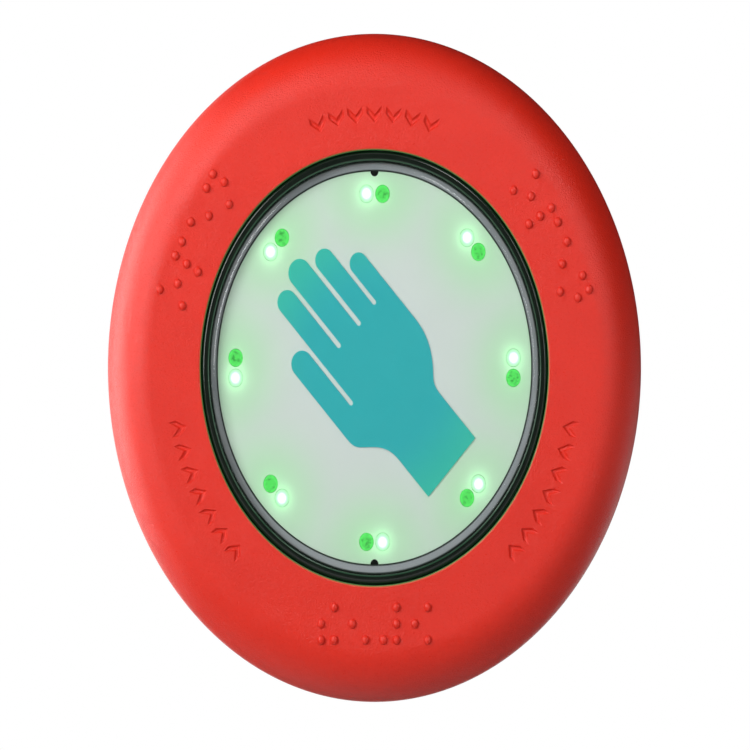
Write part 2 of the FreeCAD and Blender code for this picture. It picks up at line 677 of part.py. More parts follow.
def make_rear_housing():
    sharp = oval("pot_sharp", "pot_half", "0 - pot_deep", "flange_front")
    half = size("pot_half")
    outer = round_edges("pot_outer", sharp, "pot_edge", -size("pot_deep"), half - 1, half + 1)
    flange = oval("pot_flange", "flange_half", "gasket_thick", "flange_front")
    floor = "pot_floor - pot_deep"
    hollow = oval("pot_hollow", "pot_half - pot_wall", floor, "gasket_thick")
    mouth = oval("pot_mouth", "lip_half", "0", "flange_front + 1")
    shell = cut("pot_shell", fuse("pot_blank", [outer, flange]), [hollow, mouth])

    inner = [shell]
    for across, up in corners_of("board_boss_across", "board_boss_up"):
        inner.append(rod("board_boss", "board_boss", "board_boss_rear", "flange_front", across, up))
    web_up = "(board_boss_up + web_end) / 2"
    web_long = "web_end - board_boss_up"
    for across, up in corners_of("board_boss_across", web_up):
        inner.append(block("boss_web", "web_thick", web_long, "board_boss_rear", "flange_front",
                           across, up))
    root = f"{floor} - lap"
    for across, up in corners_of("post_across", "post_up"):
        inner.append(rod("guide_tower", "tower_radius", root, "tower_front", across, up))
    rib_across = "0 - (switch_thick + rib_thick) / 2"
    rib_up = "switch_long / 2 - switch_below"
    inner.append(block("switch_rib", "rib_thick", "switch_long", root, "switch_front",
                       rib_across, rib_up))

    holes = []
    for across, up in corners_of("fixing_across", "fixing_up"):
        holes.append(rod("boss_room", "fixing_boss + play", "0", "flange_front + 1", across, up))
    for across, up in housing_screw_places():
        sunk = "gasket_thick + sunk_high"
        holes.append(rod("screw_way", "screw_clear", "0", "flange_front + 1", across, up))
        holes.append(cone("screw_sink", "sunk_head + fit_gap", "screw_clear", "gasket_thick", sunk,
                          across, up))
    for across, up in corners_of("board_boss_across", "board_boss_up"):
        end = "flange_front + board_thick - board_screw_long - pilot_spare"
        holes.append(rod("board_pilot", "screw_core", end, "flange_front + 1", across, up))
    for across, up in corners_of("post_across", "post_up"):
        bush_rear = "tower_front - bush_long"
        holes.append(rod("bush_seat", "bush_radius", bush_rear, "tower_front + 1", across, up))
        holes.append(rod("post_room", "bush_bore + post_room", f"{bush_rear} - post_room_long",
                         bush_rear, across, up))
    for out, up in switch_hole_places():
        left = "0 - switch_thick / 2 - rib_thick - 1"
        holes.append(cross_rod("switch_pilot", "switch_screw", left, "0", out, up))
    holes.append(rod("gland_hole", "gland_thread + gland_hole_gap", "-pot_deep - 1", f"{floor} + 1",
                     "0", "gland_up"))
    groove = ring("oring_groove", "oring_half + oring_groove", "oring_half - oring_groove",
                  "flange_front - 2 * oring_wire - oring_sink - oring_floor", "flange_front + 1")
    subpart("rear_housing", cut("rear_housing", fuse("pot_body", inner), holes + [groove]))


def make_housing_oring():
    out = "flange_front - oring_wire - oring_sink"
    path = ellipse("oring_path", "oring_half", out)
    section = doc.addObject("Part::Circle", "oring_section")
    bind(section, "Radius", "oring_wire")
    place(section, "0", out, "oring_half", FreeCAD.Rotation(VECTOR(0, 1, 0), 90))
    sweep = doc.addObject("Part::Sweep", "housing_oring")
    sweep.Sections = [section]
    sweep.Spine = (path, ["Edge1"])
    sweep.Solid = True
    sweep.Frenet = True
    subpart("housing_oring", sweep)


def make_wiper_seal():
    front = "seal_front - fit_gap"
    body = ring("seal_ring", "seal_groove_half - fit_gap", "mouth_half + seal_back",
                "seal_rear + fit_gap", front)
    lip = ring("seal_lip", "mouth_half + seal_back + play", "seal_lip_half",
               f"{front} - seal_lip_thick", front)
    subpart("wiper_seal", fuse("wiper_seal", [body, lip]))


def make_bump_stops():
    outline = (
        ("0", "0"),
        ("stop_radius", "0"),
        ("stop_radius", "stop_front - flange_front - ease"),
        ("stop_radius - ease", "stop_front - flange_front"),
        ("0", "stop_front - flange_front"),
    )
    places = []
    for sixth in range(6):
        across, up = around("stop_circle", sixth * 60 + 30)
        places.append((across, "flange_front", up))
    subpart("bump_stops", copies("bump_stops", turned("bump_stop", outline), places, FORWARD))


def drive_cross(name, face):
    """The two arms of a cross recess, sunk forwards from the face of a head."""
    ends = (f"{face} - 1", f"{face} + drive_deep")
    return [block(name, "drive_reach", "drive_width", *ends),
            block(name, "drive_width", "drive_reach", *ends)]


def sunk_screw():
    """A countersunk screw; it stands on its head at the origin and points forward."""
    head = cone("sunk_head", "sunk_head", "screw_core", "0", "sunk_high")
    point_start = "housing_screw_long - point_long"
    shank = rod("sunk_shank", "screw_core", "sunk_high / 2", point_start)
    point = cone("sunk_point", "screw_core", "point_tip", point_start, "housing_screw_long")
    blank = fuse("sunk_blank", [head, shank, point])
    return cut("sunk_screw", blank, drive_cross("sunk_drive", "0"))


def pan_screw(name, radius, length, tip):
    """A pan head screw; its head rests on the origin's plane and its shank points forward."""
    rim = "pan_rim - pan_high"
    head = rod(name + "_head", "pan_head", rim, "0")
    crown = cone(name + "_crown", "pan_head - pan_crown", "pan_head", "0 - pan_high", rim)
    point_start = f"{length} - point_long"
    shank = rod(name + "_shank", radius, "0 - lap", point_start)
    point = cone(name + "_point", radius, tip, point_start, length)
    blank = fuse(name + "_blank", [head, crown, shank, point])
    return cut(name, blank, drive_cross(name + "_drive", "0 - pan_high"))


def make_screws():
    places = [(across, "gasket_thick", up) for across, up in housing_screw_places()]
    subpart("housing_screws", copies("housing_screws", sunk_screw(), places, None))

    pattern = pan_screw("board_screw", "screw_core", "board_screw_long", "point_tip")
    top = "flange_front + board_thick"
    places = [(a, top, u) for a, u in corners_of("board_boss_across", "board_boss_up")]
    half_turn = FreeCAD.Rotation(VECTOR(0, 0, 1), 180)
    subpart("board_screws", copies("board_screws", pattern, places, half_turn))

    pattern = pan_screw("switch_screw", "switch_screw", "switch_screw_long", "switch_screw - ease")
    places = [("switch_thick / 2", out, up) for out, up in switch_hole_places()]
    quarter_turn = FreeCAD.Rotation(VECTOR(0, 0, 1), -90)
    subpart("switch_screws", copies("switch_screws", pattern, places, quarter_turn))


def make_guides():
    outline = (
        ("bush_bore", "0"),
        ("bush_radius", "0"),
        ("bush_radius", "bush_long"),
        ("bush_bore + ease", "bush_long"),
        ("bush_bore", "bush_long - ease"),
    )
    rear = "tower_front - bush_long"
    places = [(a, rear, u) for a, u in corners_of("post_across", "post_up")]
    subpart("guide_bushes", copies("guide_bushes", turned("guide_bush", outline), places, FORWARD))

    coil = doc.addObject("Part::Helix", "spring_coil")
    free = "(carrier_rear - tower_front - 2 * spring_wire - 2 * spring_gap)"
    bind(coil, "Height", free)
    bind(coil, "Pitch", f"{free} / spring_turns")
    bind(coil, "Radius", "spring_mean")
    section = doc.addObject("Part::Circle", "spring_section")
    bind(section, "Radius", "spring_wire")
    place(section, "spring_mean", "0", "0", FORWARD)
    spring = doc.addObject("Part::Sweep", "return_spring")
    spring.Sections = [section]
    spring.Spine = (coil, ["Edge1"])
    spring.Solid = True
    spring.Frenet = True
    foot = "tower_front + spring_wire + spring_gap"
    places = [(a, foot, u) for a, u in corners_of("post_across", "post_up")]
    subpart("return_springs", copies("return_springs", spring, places, FORWARD))


# ---------------------------------------------------------------- board and lamps


def make_led_board():
    front = "flange_front + board_thick"
    blank = oval("board_blank", "board_half", "flange_front", front)
    holes = [rod("board_eye", "board_eye", "flange_front - 1", f"{front} + 1")]
    for across, up in corners_of("post_across", "post_up"):
        holes.append(rod("spring_hole", "spring_hole", "flange_front - 1", f"{front} + 1", across, up))
    for across, up in corners_of("board_boss_across", "board_boss_up"):
        holes.append(rod("board_hole", "screw_clear", "flange_front - 1", f"{front} + 1", across, up))
    subpart("led_board", cut("led_board", blank, holes))


def make_lamps():
    """Sixteen small round lamps, in eight pairs; the second of each pair is the dim one."""
    foot = rod("lamp_foot", "lamp_foot", "0", "lamp_foot_high")
    column = rod("lamp_column", "lamp_radius", "lamp_foot_high", "lamp_high - lamp_radius")
    dome = doc.addObject("Part::Sphere", "lamp_dome")
    bind(dome, "Radius", "lamp_radius")
    place(dome, "0", "lamp_high - lamp_radius", "0")
    lamp = fuse("lamp", [foot, column, dome])
    for node, side in (("leds_bright", -1), ("leds_dim", 1)):
        places = [(a, "flange_front + board_thick", u) for a, u in lamp_places(side)]
        subpart(node, copies(node, lamp, places, None))


def make_board_parts():
    top = "flange_front + board_thick"
    step = 360 / LAMP_PAIRS
    chips = []
    for turn in range(LAMP_PAIRS):
        across, up = around("resistor_circle", (turn + 0.5) * step)
        chips.append(block("resistor", "resistor_wide", "resistor_long", top,
                           f"{top} + resistor_high", across, up))
    subpart("led_resistors", group("led_resistors", chips))

    case = block("driver_case", "driver_long", "driver_wide", f"{top} + driver_foot",
                 f"{top} + driver_high", "0", "driver_up")
    legs = []
    for side in SIDES:
        for number in (-1.5, -0.5, 0.5, 1.5):
            legs.append(block("driver_leg", "leg_wide", "leg_long", top, f"{top} + leg_high",
                              f"{number} * leg_pitch", f"driver_up + {side} * leg_row"))
    subpart("led_driver", fuse("led_driver", [case] + legs))

    body = block("block_body", "block_wide", "block_high", "block_rear", "flange_front",
                 "0", "block_up")
    rear = "block_rear"
    screw_up = "block_up + pole_rise"
    wire_up = "block_up - block_high / 2 + (wire_high - 1) / 2"
    holes = []
    screws = []
    for pole in (-1, 0, 1):
        across = f"{pole} * pole_pitch"
        holes.append(rod("terminal_well", "well_radius", f"{rear} - 1", f"{rear} + well_deep",
                         across, screw_up))
        holes.append(block("wire_way", "wire_wide", "wire_high + 1", f"{rear} + wire_rear",
                           f"{rear} + wire_front", across, wire_up))
        head = rod("terminal_head", "pole_head", f"{rear} + pole_sunk", f"{rear} + well_deep",
                   across, screw_up)
        slot = block("terminal_slot", "slot_long", "slot_wide", f"{rear} - 1",
                     f"{rear} + pole_sunk + slot_deep", across, screw_up)
        screws.append(cut("terminal_screw", head, [slot]))
    subpart("terminal_block", cut("terminal_block", body, holes))
    subpart("terminal_screws", group("terminal_screws", screws))


# ---------------------------------------------------------------- switch


def switch_hole_places():
    """The two mounting holes of the switch, as (out, up)."""
    lower_out = "switch_front - switch_deep + switch_hole_inset"
    lower_up = "switch_hole_inset - switch_below"
    upper_out = f"{lower_out} + switch_hole_drop"
    upper_up = f"{lower_up} + switch_hole_span"
    return [(lower_out, lower_up), (upper_out, upper_up)]


def make_switch():
    rear = "switch_front - switch_deep"
    middle = "switch_long / 2 - switch_below"
    body = block("switch_case", "switch_thick", "switch_long", rear, "switch_front", "0", middle)
    way_end = "plunger_rear - travel - lap"
    holes = [rod("plunger_way", "plunger_hole", way_end, "switch_front + 1")]
    for out, up in switch_hole_places():
        holes.append(cross_rod("switch_hole", "switch_hole", "0 - switch_thick", "switch_thick",
                               out, up))
    for side in SIDES:
        holes.append(block("switch_seam", "seam_size", "switch_long + 2", f"{rear} - 1",
                           f"{rear} + seam_size", f"{side} * seam_across", middle))
    eased = doc.addObject("Part::Chamfer", "switch_eased")
    eased.Base = body
    doc.recompute()
    ease = size("switch_ease")
    eased.Edges = [(number, ease, ease) for number, edge in enumerate(body.Shape.Edges, start=1)
                   if edge.BoundBox.YLength > size("switch_deep") - 1]
    subpart("switch_body", cut("switch_body", eased, holes))

    nose_start = "plunger_front - ease"
    pin = rod("plunger_pin", "plunger_radius", "plunger_rear", nose_start)
    nose = cone("plunger_nose", "plunger_radius", "plunger_radius - ease", nose_start, "plunger_front")
    subpart("switch_plunger", fuse("switch_plunger", [pin, nose]))

    tabs = []
    for number in range(3):
        up = f"{number} * tab_pitch + tab_first"
        end = f"{rear} - tab_long"
        tab = block("tab", "tab_thick", "tab_wide", end, rear, "0", up)
        eye = cross_rod("tab_eye", "tab_eye", "-1", "1", f"{end} + tab_eye_inset", up)
        tabs.append(cut("switch_tab", tab, [eye]))
    subpart("switch_terminals", group("switch_terminals", tabs))


def make_switch_leads():
    """Two wires: down behind the switch from a terminal, then forward to the board."""
    leads = []
    bend_turn = FreeCAD.Rotation(VECTOR(0, 1, 0), VECTOR(0, 0, -1), VECTOR(-1, 0, 0), "XYZ")
    for side, top in ((-1, "lead_top_left"), (1, "lead_top_right")):
        across = f"{side} * lead_across"
        run = doc.addObject("Part::Cylinder", "lead_run")
        bind(run, "Radius", "lead_radius")
        bind(run, "Height", f"({top}) - (lead_low + lead_bend)")
        place(run, across, "lead_rear", "lead_low + lead_bend")
        bend = doc.addObject("Part::Torus", "lead_bend")
        bind(bend, "Radius1", "lead_bend")
        bind(bend, "Radius2", "lead_radius")
        bend.Angle3 = 90
        place(bend, across, "lead_rear + lead_bend", "lead_low + lead_bend", bend_turn)
        rise = rod("lead_rise", "lead_radius", "lead_rear + lead_bend", "flange_front",
                   across, "lead_low")
        leads.append(fuse("switch_lead", [run, bend, rise]))
    subpart("switch_leads", group("switch_leads", leads))


# ---------------------------------------------------------------- cable gland


def gland_seal(front, at):
    """The seal: thick in the sleeve, with a thin end in the body and one in the nut's mouth."""
    thick_rear = f"{front} - gland_seal_long"
    pieces = [
        rod("seal_thick", "gland_seal_radius", thick_rear, front, *at),
        rod("seal_thin", "gland_collar", f"{thick_rear} - gland_collar_rear",
            f"{front} + gland_collar_front", *at),
    ]
    way = rod("seal_way", "cable_radius", f"{thick_rear} - gland_collar_rear - 1",
              f"{front} + gland_collar_front + 1", *at)
    return cut("gland_seal", fuse("seal_blank", pieces), [way])


def gland_nut(front, at):
    """The cap nut: a hexagon whose rear end is turned to a dome."""
    corner = "gland_flats / sqrt(3)"
    length = "gland_nut_long"
    outline = (
        ("0", "0"),
        (corner, "0"),
        (corner, f"{length} - nut_flats_end"),
        (f"{corner} - nut_taper", f"{length} - nut_waist"),
        ("gland_flats / 2 - nut_shoulder", f"{length} - nut_bend"),
        ("gland_bore + nut_rim", length),
        ("0", length),
    )
    dome = turned("nut_dome", outline)
    place(dome, "0", front, "gland_up", BACKWARD)
    rear = f"{front} - {length}"
    hexa = hexagon("nut_hex", "gland_flats", rear, front, *at)
    room = rod("nut_room", "gland_thread + fit_gap", f"{rear} + gland_nut_end", f"{front} + 1", *at)
    mouth = rod("nut_mouth", "gland_bore", f"{rear} - 1", front, *at)
    return cut("gland_nut", common("nut_blank", [hexa, dome]), [room, mouth])


def make_gland():
    floor = "0 - pot_deep"
    hex_front = f"{floor} - gland_washer"
    hex_rear = f"{hex_front} - gland_hex"
    sleeve_rear = f"{hex_rear} - gland_sleeve"
    lock_rear = "pot_floor - pot_deep"
    lock_front = f"{lock_rear} + gland_locknut"
    thread_front = f"{lock_front} + gland_thread_end"
    seat_end = f"{hex_rear} - gland_seat_end"
    at = ("0", "gland_up")

    hexa = hexagon("gland_hex", "gland_flats", hex_rear, hex_front, *at)
    thread = rod("gland_thread", "gland_thread", hex_rear, thread_front, *at)
    sleeve = rod("gland_sleeve", "gland_thread", sleeve_rear, hex_rear, *at)
    bore = rod("gland_way", "gland_bore", f"{sleeve_rear} - 1", f"{thread_front} + 1", *at)
    seat = rod("gland_seat", "gland_seat", f"{sleeve_rear} - 1", seat_end, *at)
    subpart("gland_body", cut("gland_body", fuse("gland_blank", [hexa, thread, sleeve]), [bore, seat]))

    washer = tube("gland_washer", "gland_flats / 2 + ease", "gland_thread + fit_gap", hex_front,
                  floor, *at)
    subpart("gland_washer", washer)

    nut = hexagon("locknut_hex", "gland_flats", lock_rear, lock_front, *at)
    way = rod("locknut_way", "gland_thread", f"{lock_rear} - 1", f"{lock_front} + 1", *at)
    subpart("gland_locknut", cut("gland_locknut", nut, [way]))

    subpart("gland_seal", gland_seal(f"{seat_end} - gland_hole_gap", at))
    subpart("gland_nut", gland_nut(f"{hex_rear} - gland_nut_gap", at))


# ---------------------------------------------------------------- cap


def pipe_holes(rear, front):
    places = lamp_places(-1) + lamp_places(1)
    return [oval("pipe_hole", "pipe_hole", rear, front, across, up) for across, up in places]


def make_cap_frame():
    flange = oval("cap_flange", "cap_flange_half", "cap_rear", "cap_flange_front")
    wall = oval("cap_wall", "cap_half", "cap_rear", "cap_land")
    room = oval("cap_room", "cap_bore", "cap_rear - 1", "ledge_rear")
    snap = oval("cap_snap", "window_seat", "bead_rear - bead_gap", "bead_front + bead_gap")
    ledge = oval("cap_ledge", "ledge_half", "ledge_rear - 1", "plate_front + 1")
    seat = oval("window_seat", "window_seat", "plate_front", "cap_land + 1")
    hollows = [room, snap, ledge, seat]
    subpart("cap_frame", cut("cap_frame", fuse("cap_blank", [flange, wall]), hollows))


def make_cap_carrier():
    disc = oval("carrier_disc", "carrier_half", "carrier_rear", "carrier_front")
    bead = oval("carrier_bead", "bead_half", "bead_rear", "bead_front")
    pieces = [disc, bead, rod("carrier_stem", "stem_radius", "stem_end", "carrier_front")]
    for across, up in corners_of("post_across", "post_up"):
        pieces.append(rod("guide_post", "post_radius", "post_end", "carrier_front", across, up))
    holes = pipe_holes("carrier_rear - 1", "carrier_front + 1")
    subpart("cap_carrier", cut("cap_carrier", fuse("carrier_blank", pieces), holes))


def make_symbol_plate():
    blank = oval("plate_blank", "plate_half", "carrier_front", "plate_front")
    holes = pipe_holes("carrier_front - 1", "plate_front + 1")
    for side in SIDES:
        holes.append(oval("plate_notch", "notch", "carrier_front - 1", "plate_front + 1",
                          "0", f"{side} * plate_half"))
    subpart("symbol_plate", cut("symbol_plate", blank, holes))


def make_light_pipes():
    for node, side in (("light_pipes_bright", -1), ("light_pipes_dim", 1)):
        pipes = [oval("light_pipe", "pipe_half", "pipe_rear", "plate_front", across, up)
                 for across, up in lamp_places(side)]
        subpart(node, group(node, pipes))


def make_window():
    blank = oval("window_blank", "window_half", "plate_front + print_thick", "window_front")
    half = size("window_half")
    edged = round_edges("lens_window", blank, "window_edge", size("window_front"), half - 1, half + 1)
    subpart("lens_window", edged)
    border = ring("lens_border", "window_half", "plate_half + fit_gap", "plate_front",
                  "plate_front + print_thick")
    subpart("lens_border", border)


def finger(name, next_low):
    """The edges of one finger: up its lower edge, round its tip, down, and round the web."""
    low, high, tip = (size(f"{name}_{part}") for part in ("low", "high", "tip"))
    reach = (high - low) / 2
    edges = [Part.Arc(VECTOR(tip, low, 0), VECTOR(tip + reach, low + reach, 0), VECTOR(tip, high, 0))]
    if next_low is not None:
        web = size(f"{name}_web")
        gap = (next_low - high) / 2
        end = web + gap
        edges.append(Part.LineSegment(VECTOR(tip, high, 0), VECTOR(end, high, 0)))
        bottom = VECTOR(web, high + gap, 0)
        edges.append(Part.Arc(VECTOR(end, high, 0), bottom, VECTOR(end, next_low, 0)))
    return edges


def curved_edge(start, between, end, direction):
    """A curve from start to end through points, along a direction at both ends."""
    curve = Part.BSplineCurve()
    through = [start] + [VECTOR(x, y, 0) for x, y in between] + [end]
    curve.interpolate(Points=through, InitialTangent=direction, FinalTangent=direction)
    return curve


def make_hand_symbol():
    """An open hand that points up and to the left, as one printed patch.

    It is drawn along x (the fingers) and across y, then turned to its slant and set to
    the width ratio of the other ovals.
    """
    names = ("thumb", "index", "middle", "third", "little")
    edges = []
    for name, following in zip(names, names[1:]):
        next_low = size(f"{following}_low")
        edges += finger(name, next_low)
        next_tip = VECTOR(size(f"{following}_tip"), next_low, 0)
        edges.append(Part.LineSegment(edges[-1].EndPoint, next_tip))
    edges += finger(names[-1], None)

    along = VECTOR(1, 0, 0)
    little = VECTOR(size("little_tip"), size("little_high"), 0)
    back = VECTOR(size("palm_back"), size("little_high"), 0)
    heel = VECTOR(size("palm_heel"), size("wrist_high"), 0)
    corner_high = VECTOR(size("wrist_end"), size("wrist_high"), 0)
    corner_low = VECTOR(size("wrist_end"), size("wrist_low"), 0)
    ball = VECTOR(size("palm_ball"), size("wrist_low"), 0)
    root = VECTOR(size("thumb_root"), size("thumb_low"), 0)
    edges += [
        Part.LineSegment(little, back),
        curved_edge(back, HAND_BACK, heel, -along),
        Part.LineSegment(heel, corner_high),
        Part.LineSegment(corner_high, corner_low),
        Part.LineSegment(corner_low, ball),
        curved_edge(ball, HAND_BALL, root, along),
        Part.LineSegment(root, VECTOR(size("thumb_tip"), size("thumb_low"), 0)),
    ]

    slant = math.sqrt(0.5)
    narrow = slant * size("width_ratio")
    face = -size("plate_front")
    to_button = FreeCAD.Matrix(-narrow, narrow, 0, 0, 0, 0, -1, face, slant, slant, 0, 0)
    wire = Part.Wire([edge.toShape() for edge in edges]).transformGeometry(to_button)
    patch = doc.addObject("Part::Feature", "hand_symbol")
    patch.Shape = Part.Face(Part.Wire(wire.Edges)).extrude(VECTOR(0, -size("print_thick"), 0))
    patch.Placement = FreeCAD.Placement()
    subpart("hand_symbol", patch)


# ---------------------------------------------------------------- build and export


def check_and_export():
    doc.recompute()
    broken = [f"{item.Label}: {item.State}" for item in doc.Objects
              if "Invalid" in item.State or "Error" in item.State]
    for thing in subparts:
        if thing.Shape.isNull() or not thing.Shape.isValid():
            broken.append(f"{thing.Label}: no valid shape")
        elif not thing.Shape.Solids:
            broken.append(f"{thing.Label}: no solid")
    if broken:
        raise RuntimeError("; ".join(broken))
    os.makedirs("parts", exist_ok=True)
    for thing in subparts:
        thing.Shape.exportStep(os.path.join("parts", thing.Label + ".step"))
        box = thing.Shape.BoundBox
        print(f"{thing.Label:22s} {len(thing.Shape.Solids):3d} solids {thing.Shape.Volume:10.2f} mm3  "
              f"x {box.XMin:7.2f} {box.XMax:7.2f}  y {box.YMin:7.2f} {box.YMax:7.2f}  "
              f"z {box.ZMin:7.2f} {box.ZMax:7.2f}")


fill_sheet()
make_panel_gasket()
make_housing_ring()
make_threaded_inserts()
make_rear_housing()
make_housing_oring()
make_wiper_seal()
make_bump_stops()
make_screws()
make_guides()
make_led_board()
make_lamps()
make_board_parts()
make_switch()
make_switch_leads()
make_gland()
make_cap_frame()
make_cap_carrier()
make_symbol_plate()
make_light_pipes()
make_window()
make_hand_symbol()
check_and_export()
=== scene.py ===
import math

import bmesh
import bpy
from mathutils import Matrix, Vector
from mathutils.geometry import delaunay_2d_cdt


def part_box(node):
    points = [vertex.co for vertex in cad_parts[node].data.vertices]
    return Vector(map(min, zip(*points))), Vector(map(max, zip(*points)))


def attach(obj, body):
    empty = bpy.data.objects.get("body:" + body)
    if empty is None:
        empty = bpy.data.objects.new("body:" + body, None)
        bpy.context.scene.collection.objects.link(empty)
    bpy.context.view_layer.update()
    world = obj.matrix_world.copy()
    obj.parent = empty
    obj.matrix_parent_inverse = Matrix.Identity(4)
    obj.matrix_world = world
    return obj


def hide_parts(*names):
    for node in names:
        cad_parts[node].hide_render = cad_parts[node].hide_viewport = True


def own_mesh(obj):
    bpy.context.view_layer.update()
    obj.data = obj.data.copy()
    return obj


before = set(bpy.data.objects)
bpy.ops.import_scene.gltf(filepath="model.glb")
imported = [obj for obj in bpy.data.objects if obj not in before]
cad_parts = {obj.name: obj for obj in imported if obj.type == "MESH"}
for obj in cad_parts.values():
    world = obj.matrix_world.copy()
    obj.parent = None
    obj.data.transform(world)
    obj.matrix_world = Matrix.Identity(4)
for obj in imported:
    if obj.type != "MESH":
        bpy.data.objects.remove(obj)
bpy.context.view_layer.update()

# The button faces -Y, with Z up. Every large outline is an upright ellipse: it is given
# here by its half height in millimetres, and its width follows from RATIO. "out" is the
# distance in front of the panel plane, in millimetres, so it is -Y.

MM = 0.001
RING_LOW, RING_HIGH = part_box("housing_ring")
RING_HALF = (RING_HIGH.z - RING_LOW.z) / 2 / MM
RATIO = (RING_HIGH.x - RING_LOW.x) / (RING_HIGH.z - RING_LOW.z)


def front_of(node):
    return -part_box(node)[0].y / MM


def rear_of(node):
    return -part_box(node)[1].y / MM


def half_of(node):
    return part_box(node)[1].z / MM


DOT_HIGH = 0.5
RING_FRONT = front_of("housing_ring") - DOT_HIGH
RING_REAR = rear_of("housing_ring")
SHOULDER = 8.5
BAND_OUTER = RING_HALF - SHOULDER
MOUTH_HALF = 33.45
SIGN_CIRCLE = 39.3
LAMP_CIRCLE = 26.8
LAMP_SIDE = LAMP_CIRCLE * math.sin(math.radians(3.31))
FRAME_HALF = 33.15
FRAME_LAND = front_of("cap_frame")
PLATE_FRONT = front_of("symbol_plate")
WINDOW_HALF = half_of("lens_window")
WINDOW_FRONT = front_of("lens_window")
WINDOW_REAR = rear_of("lens_window")
WINDOW_EDGE = 1.25
MOUTH_EDGE = 0.4
FLAT = 1 - 1e-6
RING_SEGMENTS = 360

# the tactile signs, as on the CAD ring
DOT_PITCH = 2.5
CELL_PITCH = 6.0
DOT_RIM = 0.75
DOT_STEPS = 9
DOT_SIDES = 28
BRAILLE_CELLS = ((1, 3, 5), (1, 2, 3, 4), (1, 5), (1, 3, 4, 5))
BRAILLE_CLOCKS = (60, 180, 300)
CHEVRON_CLOCKS = (0, 120, 240)
CHEVRON_PITCH = 5.4
CHEVRON_WIDE = 2.4
CHEVRON_HIGH = 2.0
CHEVRON_STROKE = 1.2
CHEVRON_CORNER = 0.1
CHEVRON_WALL = ((-0.05, 0.0), (0.0, 0.03), (0.05, 0.11), (0.10, 0.20), (0.15, 0.28), (0.20, 0.33),
                (0.26, 0.35))

# the hollow side of the ring
CHANNEL_OUTER = 48.5
CHANNEL_UPPER = 45.5
CHANNEL_INNER = 38.4
CHANNEL_STEP = 10.5
CHANNEL_FRONT = 14.8
CAVITY_HALF = 36.0
STOP_FACE = 10.3
FLANGE_FRONT = 3.5
FIXING_BOSS = 4.5
INSERT_RADIUS = 3.0
SCREW_HALF = 43.4
SCREW_BOSS = 3.5
SCREW_CORE = 1.25
FOOT_EASE = 0.3
FOOT_STEP = 0.1
CREASE = 40

# the cap's frame and window, as half heights and distances out
FLANGE_HALF = 35.2
FLANGE_THICK = 1.7
FRAME_BORE = 31.45
WINDOW_SEAT = 31.85
LEDGE_HALF = 30.35
LEDGE_REAR = 14.3
FRAME_ROUND = 0.4
FLANGE_ROUND = 0.25
BORE_ROUND = 0.22
SMALL_ROUND = 0.1
WINDOW_FLAT = 8
WINDOW_LIFT = 0.04
EDGE_STEPS = 14

# colours are linear; sizes in the materials are millimetres
BEAD_IN = (30.35, 30.6)
BEAD_OUT = (31.35, 31.6)
GLOW_RADIUS = 32.0
# radii of the painted shade on the carrier under the plate's notches
NOTCH_PAINTED_SHADE = (29.0, 29.2)
PIPE_HALF = 1.36

# studio: name, azimuth, elevation, distance, width, height, power
LIGHTS = (
    ("key", -48, 18, 0.55, 0.22, 0.38, 2.7),
    ("back_left", -112, 6, 0.50, 0.26, 0.50, 2.4),
    ("strip_high", 20, 30, 0.60, 0.10, 0.16, 0.6),
    ("strip_side", 36, 10, 0.60, 0.08, 0.26, 0.6),
    ("rear", -155, 5, 0.90, 0.50, 0.50, 0.5),
    ("front", 0, 62, 0.70, 0.50, 0.40, 0.45),
)
FLOOR_HALF = 4.0
FLOOR_LEVEL = -0.45
FLOOR_FADE = (900, 2400)
FLOOR_WHITE = 0.95
FILL_STRENGTH = 0.03
VIEW_WIDE = 750 / 6.5
BAND_OUT = 14
CAMERA_DISTANCE = 2.4
CAMERA_ACROSS = 0.08
CAMERA_UP = -1.1
SENSOR_WIDE = 36


# ---------------------------------------------------------------- meshes


def rounded(corners, steps=6):
    """A closed outline from (across, along, radius) corners, with the corners rounded."""
    points = []
    count = len(corners)
    for index, (a, b, radius) in enumerate(corners):
        here = Vector((a, b))
        before = Vector(corners[index - 1][:2])
        after = Vector(corners[(index + 1) % count][:2])
        if radius <= 0:
            points.append(here)
            continue
        to_before = (before - here).normalized()
        to_after = (after - here).normalized()
        half = to_before.angle(to_after) / 2
        reach = radius / math.tan(half)
        start = here + to_before * reach
        end = here + to_after * reach
        centre = here + (to_before + to_after).normalized() * radius / math.sin(half)
        sweep = (start - centre).angle_signed(end - centre)
        for step in range(steps + 1):
            spoke = (start - centre).copy()
            angle = -sweep * step / steps
            turned = Vector((spoke.x * math.cos(angle) - spoke.y * math.sin(angle),
                             spoke.x * math.sin(angle) + spoke.y * math.cos(angle)))
            points.append(centre + turned)
    return points


def new_object(name, vertices, faces):
    mesh = bpy.data.meshes.new(name)
    mesh.from_pydata([Vector(v) * MM for v in vertices], [], faces)
    edit = bmesh.new()
    edit.from_mesh(mesh)
    bmesh.ops.remove_doubles(edit, verts=edit.verts, dist=1e-7)
    bmesh.ops.recalc_face_normals(edit, faces=edit.faces)
    edit.to_mesh(mesh)
    edit.free()
    thing = bpy.data.objects.new(name, mesh)
    bpy.context.scene.collection.objects.link(thing)
    return thing


def smooth(thing, degrees):
    """Shade smooth, with edges above the angle kept sharp and flats kept flat."""
    for face in thing.data.polygons:
        face.use_smooth = True
    thing.data.set_sharp_from_angle(angle=math.radians(degrees))
    weighted = thing.modifiers.new("weighted", "WEIGHTED_NORMAL")
    weighted.keep_sharp = True
    return thing


def flat_loop(points, out):
    return [(x, -out, z) for x, z in points]


def oval_points(half, segments):
    angles = [2 * math.pi * step / segments for step in range(segments)]
    return [(half * RATIO * math.sin(a), half * math.cos(a)) for a in angles]


def sign_place(clock, along, radial):
    """A point among the signs, as (across, up): along the oval and away from its centre."""
    turn = math.radians(clock)
    across = (radial * math.sin(turn) + along * math.cos(turn)) * RATIO
    return across, radial * math.cos(turn) - along * math.sin(turn)


